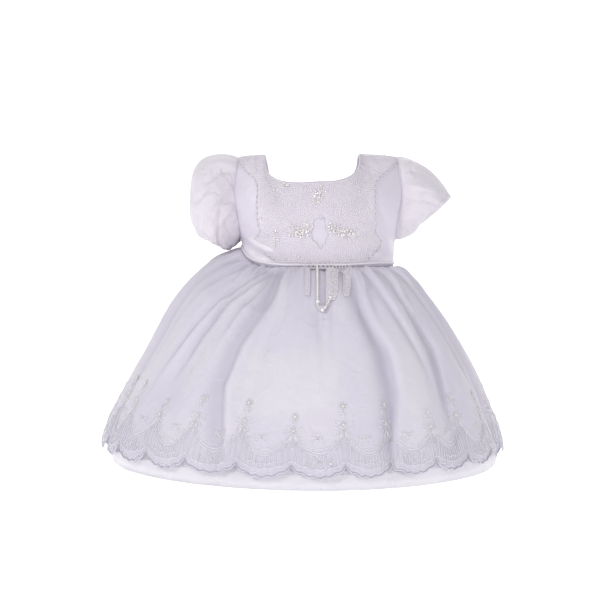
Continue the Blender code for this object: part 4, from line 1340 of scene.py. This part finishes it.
def build_net():
    """The fine net that the applique's cords are sewn to."""
    share, up = np.meshgrid(np.linspace(0, 1, 193), np.linspace(0, 1, 101))
    up = APPLIQUE["up"][0] + up * (APPLIQUE["up"][-1] - APPLIQUE["up"][0])
    place = applique_place(share, up)
    points, direction = front_of_torso(*place), normals(front_of_torso, *place, PANEL, 1)
    outer = kept_to(points + direction * (LACE_LIFT + 0.05), FRONT_Y)
    inner = kept_to(points + direction * (LACE_LIFT - 0.2), FRONT_Y)
    share_off, up_off = (share - GAP_SHARE) / GAP_HALF_SHARE, (up - GAP_UP) / GAP_HALF_UP
    turn_off = np.arctan2(up_off, share_off)
    reach = np.hypot(share_off, up_off) + 0.1 * np.sin(5 * turn_off) + 0.08 * np.sin(9 * turn_off + 1)
    net = shell("applique_net", outer, inner, False, LACE_NET, (reach[:-1, :-1] + reach[1:, 1:]) / 2 < 0.96)
    attach(net, "lace", "applique_bodice")


# The embroidered border of the overskirt and the hanging tail of the applique


def add_hem_run(angle, down, radius, threads, lift=0.0):
    threads.add(*on_skirt(np.asarray(angle), np.asarray(down), lift), radius)


def add_swag(lace, k, left):
    """A swag from one scallop's corner to the next, with ribs or eyelets below it."""
    cords = lace.cords
    across = np.linspace(0.02, 0.98, 40)
    angle = left + across * JUNCTION
    curve = swag_down(angle)
    add_hem_run(angle, curve, 0.52, cords, 0.1)
    add_hem_run(angle[3:-3], curve[3:-3] + 0.011, 0.4, cords)
    picots = 0.013 + 0.003 * np.abs(np.sin(np.pi * across * 9))
    add_hem_run(angle[6:-6], (curve - picots)[6:-6], 0.36, cords)
    for share in np.linspace(0.12, 0.88, 13) if k % 2 else (0.1, 0.18, 0.4, 0.6, 0.82, 0.9):
        where = left + share * JUNCTION
        lean = (share - 0.5) * 1.2 * np.linspace(0, 1, 7)
        down = np.linspace(float(swag_down(where)) + 0.014, float(scallop_hem(where)) - 0.03, 7)
        add_hem_run(where + lean, down, 0.38, cords)
    if k % 2 == 0:
        for share, size in ((0.29, 3.4), (0.5, 4.6), (0.71, 3.4)):
            plan = SkirtPlan(left + share * JUNCTION, SCALLOP_HEM - 0.014)
            for ring in (1.0, 0.55):
                lace.ring(plan, size * 0.7 * ring, size * 1.5 * ring, 16)
            lace.sequin(plan, 0.0, 0.0, 0.9)
    else:
        echo = np.linspace(0.2, 0.8, 24)
        where = left + echo * JUNCTION
        add_hem_run(where, scallop_hem(where) - 0.042 - 0.006 * np.abs(np.sin(echo * 15.7)), 0.38, cords)


def add_spray(lace, left, tall, dice):
    """Leaves and scrolls over a corner, a stem with a flower above them, and a sprig over the next swag."""
    plan = SkirtPlan(left, float(swag_down(left + 0.001)))
    lace.flower(plan, 0, 0.5, 3.9, 5, dice.uniform(0, 1))
    for side in (-1, 1):
        lace.leaf(plan, side * 1.5, 4.0, 10.0, 2.4, math.pi / 2 - side * 0.5, 2)
        lace.scroll(plan, side * 2.0, -1.0, 6.0, -math.pi / 2 + side * 0.9, side)
        lace.scroll(plan, side * 4.0, 3.0, 5.0, math.pi / 2 - side * 1.2, -side)
    lace.leaf(plan, 0, 5.0, 15.0, 3.0, math.pi / 2, 2)
    reach, bloom = (19.0, 4.8) if tall else (14.0, 3.6)
    lace.cord(plan, np.sin(np.linspace(0, 3, 14)) * 0.8, -np.linspace(3.5, reach - 4, 14), 0.46)
    for side in (-1, 1):
        lace.leaf(plan, 0, -reach * 0.45, 6.0, 1.6, -math.pi / 2 + side * 0.9, 1)
    lace.flower(plan, 0.6, -reach, bloom, 6, dice.uniform(0, 1))
    sprig = SkirtPlan(left + JUNCTION / 2 + dice.normal(0, 0.8), SCALLOP_HEM - 0.11)
    lace.flower(sprig, 0, 0, 2.6, 5, dice.uniform(0, 1), False)
    lace.pearl(sprig, 0, 0, 0.7)
    for side in (-1, 1):
        lace.scroll(sprig, side * 3.0, 1.5, 4.2, side * 0.3 + (0 if side > 0 else math.pi), side)
        lace.leaf(sprig, side * 2.0, -1.0, 4.5, 1.2, -math.pi / 2 + side * 1.2, 1)


def build_border():
    """Scalloped corded hem, swags tied at the scallops' corners, ribs or eyelets below and sprays above."""
    lace, edging, dice = Lace(), Threads(), np.random.default_rng(31)
    for start, end in ((-89.9, 89.9), (90.1, 269.9)):
        angle = np.linspace(start, end, 560)
        hem = edge_down(angle)
        add_hem_run(angle, hem - 0.003, 0.72, edging, 0.1)
        add_hem_run(angle, hem - 0.012, 0.34, lace.cords)
        picots = 0.003 * np.abs(np.sin(np.radians(angle * SCALLOPS * 3)))
        add_hem_run(angle, scallop_hem(angle) - 0.026 - picots, 0.4, lace.cords)
    for k in range(SCALLOPS):
        left = (k - SCALLOPS / 2 + 0.5) * JUNCTION
        add_swag(lace, k, left)
        add_spray(lace, left, k % 3 > 0, dice)
    lace.build("border", BORDER_CORD)
    attach(edging.build("overskirt_hem_cord", HEM_CORD), "organza")


TAIL_COLUMNS = (
    "down left_out left_in pearl_left pearl_right middle_left middle middle_right right_in right_out"
)
TAIL = table(
    TAIL_COLUMNS,
    (0.012, -6.6, -3.8, -0.9, 0.1, 3.3, 6.8, 10.4, 13.7, 19.1),
    (0.035, -6.4, -3.8, -0.9, 0.1, 3.1, 6.5, 9.9, 13.1, 18.1),
    (0.075, -6.0, -3.6, -1.0, 0.1, 2.9, 6.0, 9.0, 12.0, 16.3),
    (0.120, -5.8, -3.5, -1.0, 0.0, 2.8, 5.6, 8.4, 11.0, 15.1),
    (0.165, -5.7, -3.5, -1.1, 0.0, 2.8, 5.5, 8.2, 10.6, 14.5),
    (0.210, -5.4, -3.9, -1.2, -0.1, 2.8, 5.2, 7.6, 10.8, 13.0),
    (0.235, -5.4, -3.9, -1.3, -0.1, 2.8, 4.6, 6.4, 10.8, 13.0),
    (0.262, -5.4, -3.9, -1.3, -0.1, 2.6, 4.0, 5.0, 10.8, 13.0),
    (0.290, -5.4, -3.9, 0.3, 0.7, 1.3, 1.7, 2.0, 10.8, 13.0),
)
STRANDS = table(
    "first last top bottom",
    (0, 8, 0, 1),
    (0, 1, 1, 5),
    (2, 3, 1, 7),
    (4, 6, 1, 6),
    (4, 5, 6, 7),
    (2, 5, 7, 8),
    (7, 8, 1, 5),
)


def tail_place(name, down):
    return np.interp(down, TAIL["down"], TAIL[name])


def tail_grid(fine_rows, fine_columns):
    names = TAIL_COLUMNS.split()[1:]
    rows = np.interp(np.linspace(0, 8, 8 * fine_rows + 1), np.arange(9), TAIL["down"])
    edges = np.stack([tail_place(name, rows) for name in names], -1)
    columns = np.linspace(0, 8, 8 * fine_columns + 1)
    angle = np.stack([np.interp(columns, np.arange(9), row) for row in edges])
    cut = np.ones((8, 8), bool)
    for first, last, top, bottom in np.stack(list(STRANDS.values()), -1).astype(int):
        cut[top:bottom, first:last] = False
    cut = cut.repeat(fine_rows, 0).repeat(fine_columns, 1)
    return angle, np.repeat(rows[:, None], angle.shape[1], 1), cut


def build_tail_net():
    angle, down, cut = tail_grid(5, 4)
    direction = normals(skirt, angle, down, ROUND, -1)
    points = skirt(angle, down) + direction * skirt_creases(angle, down)[..., None]
    outer, inner = points + direction * 0.95, points + direction * 0.7
    net = shell("tail_net", outer[:, ::-1], inner[:, ::-1], False, LACE_NET, cut[:, ::-1])
    attach(net, "lace", "applique_tail")


# Braids of the tail: the edges that they fill, their first and last rows, cords, turns and cord radius.
BRAIDS = (
    ("left_out", "left_in", 0.3, 5, 3, 5, 0.5),
    ("right_in", "right_out", 0.3, 5, 3, 5, 0.5),
    ("middle_left", "middle_right", 0.3, 6, 4, 2.5, 0.5),
    ("middle_left", "middle", 5.8, 7, 2, 1.5, 0.42),
    ("pearl_left", "pearl_right", 0.3, 8, 2, 14, 0.42),
)
# Strings of pearls of the tail: a radius, then the places that each passes, as angle and share down.
STRINGS = (
    (1.25, ((-0.4, 0.0), (-0.5, 0.14), (-0.7, 0.255))),
    (0.95, ((-0.6, 0.262), (0.6, 0.282), (1.4, 0.286), (2.6, 0.272), (4.0, 0.24))),
    (0.8, ((4.0, 0.235), (5.6, 0.2))),
)
LARGE_PEARLS = ((-0.6, 0.246, 2.3), (1.1, 0.288, 2.2), (4.6, 0.226, 1.8), (2.2, 0.278, 1.5))


def add_braid(cords, left, right, first, last, strands, turns, radius):
    """Cords that swing from side to side between two edges and cross."""
    down = np.interp(np.linspace(first, last, 70), np.arange(9), TAIL["down"])
    edges = tail_place(left, down), tail_place(right, down)
    turn = np.linspace(0, turns * 2 * math.pi, 70)
    for strand in range(strands):
        swing = 0.5 + 0.5 * np.sin(turn + strand * 2 * math.pi / strands)
        lift = 0.75 + 0.3 * np.cos(turn * 2 + strand * math.pi)
        cords.add(*on_skirt(edges[0] + (edges[1] - edges[0]) * swing, down, lift), radius)


def add_pearl_on_skirt(pearls, angle, down, radius, lift, flat=1.0):
    point, direction = on_skirt(np.array([angle]), np.array([down]), lift)
    pearls.add(point[0], radius, direction[0], flat)


def add_ties(cords):
    """A lattice of cords over the waist seam, from the applique to its tail."""
    bodice = BodicePlan()
    ties = np.linspace(-6.4, 18.6, 13)
    heights, downs = np.linspace(5.5, 0.0, 8), np.linspace(0.006, 0.038, 8)
    for step in (-1, 1):
        for i, tie in enumerate(ties):
            where = np.linspace(tie, ties[np.clip(i + step, 0, len(ties) - 1)], 16)
            x = ungathered(where[:8], np.full(8, 0.01))[:, 0]
            upper, upper_out = bodice.lay(np.interp(x, bodice.x, bodice.s), heights, 0.0)
            lower, lower_out = on_skirt(where[8:], downs, 0.0)
            out = np.concatenate([upper_out, lower_out])
            rise = np.append(np.linspace(0.0, 1.4, 8), np.linspace(2.0, 0.9, 8))
            line = np.concatenate([upper, lower]) + out * rise[:, None]
            cords.add(smoothed(line, False, 1), out, 0.45)


def build_tail():
    """The strands of the applique's tail: braids, strings of pearls, rosettes and ties."""
    build_tail_net()
    lace, dice = Lace(), np.random.default_rng(17)
    for braid in BRAIDS:
        add_braid(lace.cords, *braid)
    for radius, places in STRINGS:
        angle, down = np.array(places).T
        length = run_length(np.stack([angle * 1.9, down * 260], -1))
        for step in np.arange(0, length[-1], radius * 2.15):
            where = np.interp(step, length, angle), np.interp(step, length, down)
            add_pearl_on_skirt(lace.pearls, *where, radius, 1.0 + radius * 0.6)
    for angle, down, radius in LARGE_PEARLS:
        add_pearl_on_skirt(lace.pearls, angle, down, radius, 2.4, 0.8)
    for down, size in ((0.035, 4.5), (0.085, 4.2), (0.135, 3.8), (0.185, 3.2)):
        plan = SkirtPlan(float(tail_place("middle", down)), down)
        for ring in (1.0, 0.6):
            lace.ring(plan, size * ring * 0.8, size * ring, 20, 0.4, 0.8)
        lace.pearl(plan, 0, 0, 0.9, 1.2)
        for _ in range(5):
            lace.sequin(plan, dice.normal(0, 2.0), dice.normal(0, 2.0), 0.9)
    foot = 0.165
    for left, right in (("left_out", "left_in"), ("right_in", "right_out")):
        plan = SkirtPlan(float(tail_place(left, foot) + tail_place(right, foot)) / 2, foot)
        lace.ring(plan, 1.8, 2.4, 18, 0.45, 1.0)
        lace.pearl(plan, 0, 1.2, 1.0, 1.2)
    add_ties(lace.cords)
    lace.build("tail", LACE_CORD)


build_bodice()
build_piping()
for side, start, end, half, limits, above in SKIRT_PANELS:
    build_overskirt(side, start, end, half, limits)
    build_underskirt(side, start, end, half, limits)
build_sleeves()
build_seams()
build_closure()
build_applique()
build_net()
build_border()
build_tail()


# Stage


def build_stage():
    """A pale floor that curves up behind, and a pale sky."""
    glow = {"Emission_Color": (1.0, 1.0, 1.0, 1), "Emission_Strength": 0.55}
    paper = Recipe("studio_paper", (0.95, 0.95, 0.96), 0.9, **glow)
    bend = np.radians(np.linspace(0, 90, 9))
    curve = [(1400 + 600 * math.sin(turn), -300 - 600 * math.cos(turn)) for turn in bend]
    run = [(-3000, -900), *curve, (2000, 3000)]
    points = [(x, y, z) for y, z in run for x in (-4000, 4000)]
    quads = [(2 * i, 2 * i + 1, 2 * i + 3, 2 * i + 2) for i in range(len(run) - 1)]
    mesh_object("studio_floor", points, np.array(quads), paper.material)
    world = bpy.data.worlds.new("studio")
    world.use_nodes = True
    world.node_tree.nodes["Background"].inputs["Color"].default_value = (0.97, 0.97, 1.0, 1)
    world.node_tree.nodes["Background"].inputs["Strength"].default_value = 0.45
    bpy.context.scene.world = world


def aim(body, place, target):
    """Links a camera or lamp at a place, looking at a target."""
    bpy.context.scene.collection.objects.link(body)
    forward = unit(np.subtract(target, place))
    right = unit(np.cross(forward, (0, 0, 1.0)))
    matrix = np.eye(4)
    matrix[:3] = np.stack([right, np.cross(right, forward), -forward, place], -1)
    body.matrix_world = matrix.T.tolist()


def area_light(name, place, target, size, power, colour):
    lamp = bpy.data.lights.new(name, "AREA")
    lamp.shape, lamp.size, lamp.energy, lamp.color = "DISK", size, power, colour
    aim(bpy.data.objects.new(name, lamp), place, target)


build_stage()
area_light("key", (-1.1, -1.1, 0.6), (0, 0, -0.2), 0.5, 8, (1.0, 0.99, 0.99))
area_light("fill", (0.7, -1.6, 0.0), (0, 0, -0.2), 1.0, 6.0, (0.99, 0.98, 1.0))
area_light("top", (0.1, 0.5, 1.1), (0, 0, -0.15), 0.9, 3, (1.0, 1.0, 1.0))

lens = bpy.data.cameras.new("camera")
lens.sensor_width, lens.lens, lens.clip_start, lens.clip_end = 36.0, 79.6, 0.05, 30.0
camera = bpy.data.objects.new("camera", lens)
aim(camera, (-0.020, -1.5, -0.130), (-0.020, 0.0, -0.167))
bpy.context.scene.camera = camera
bpy.context.scene.view_settings.view_transform = "Standard"

bpy.context.view_layer.update()
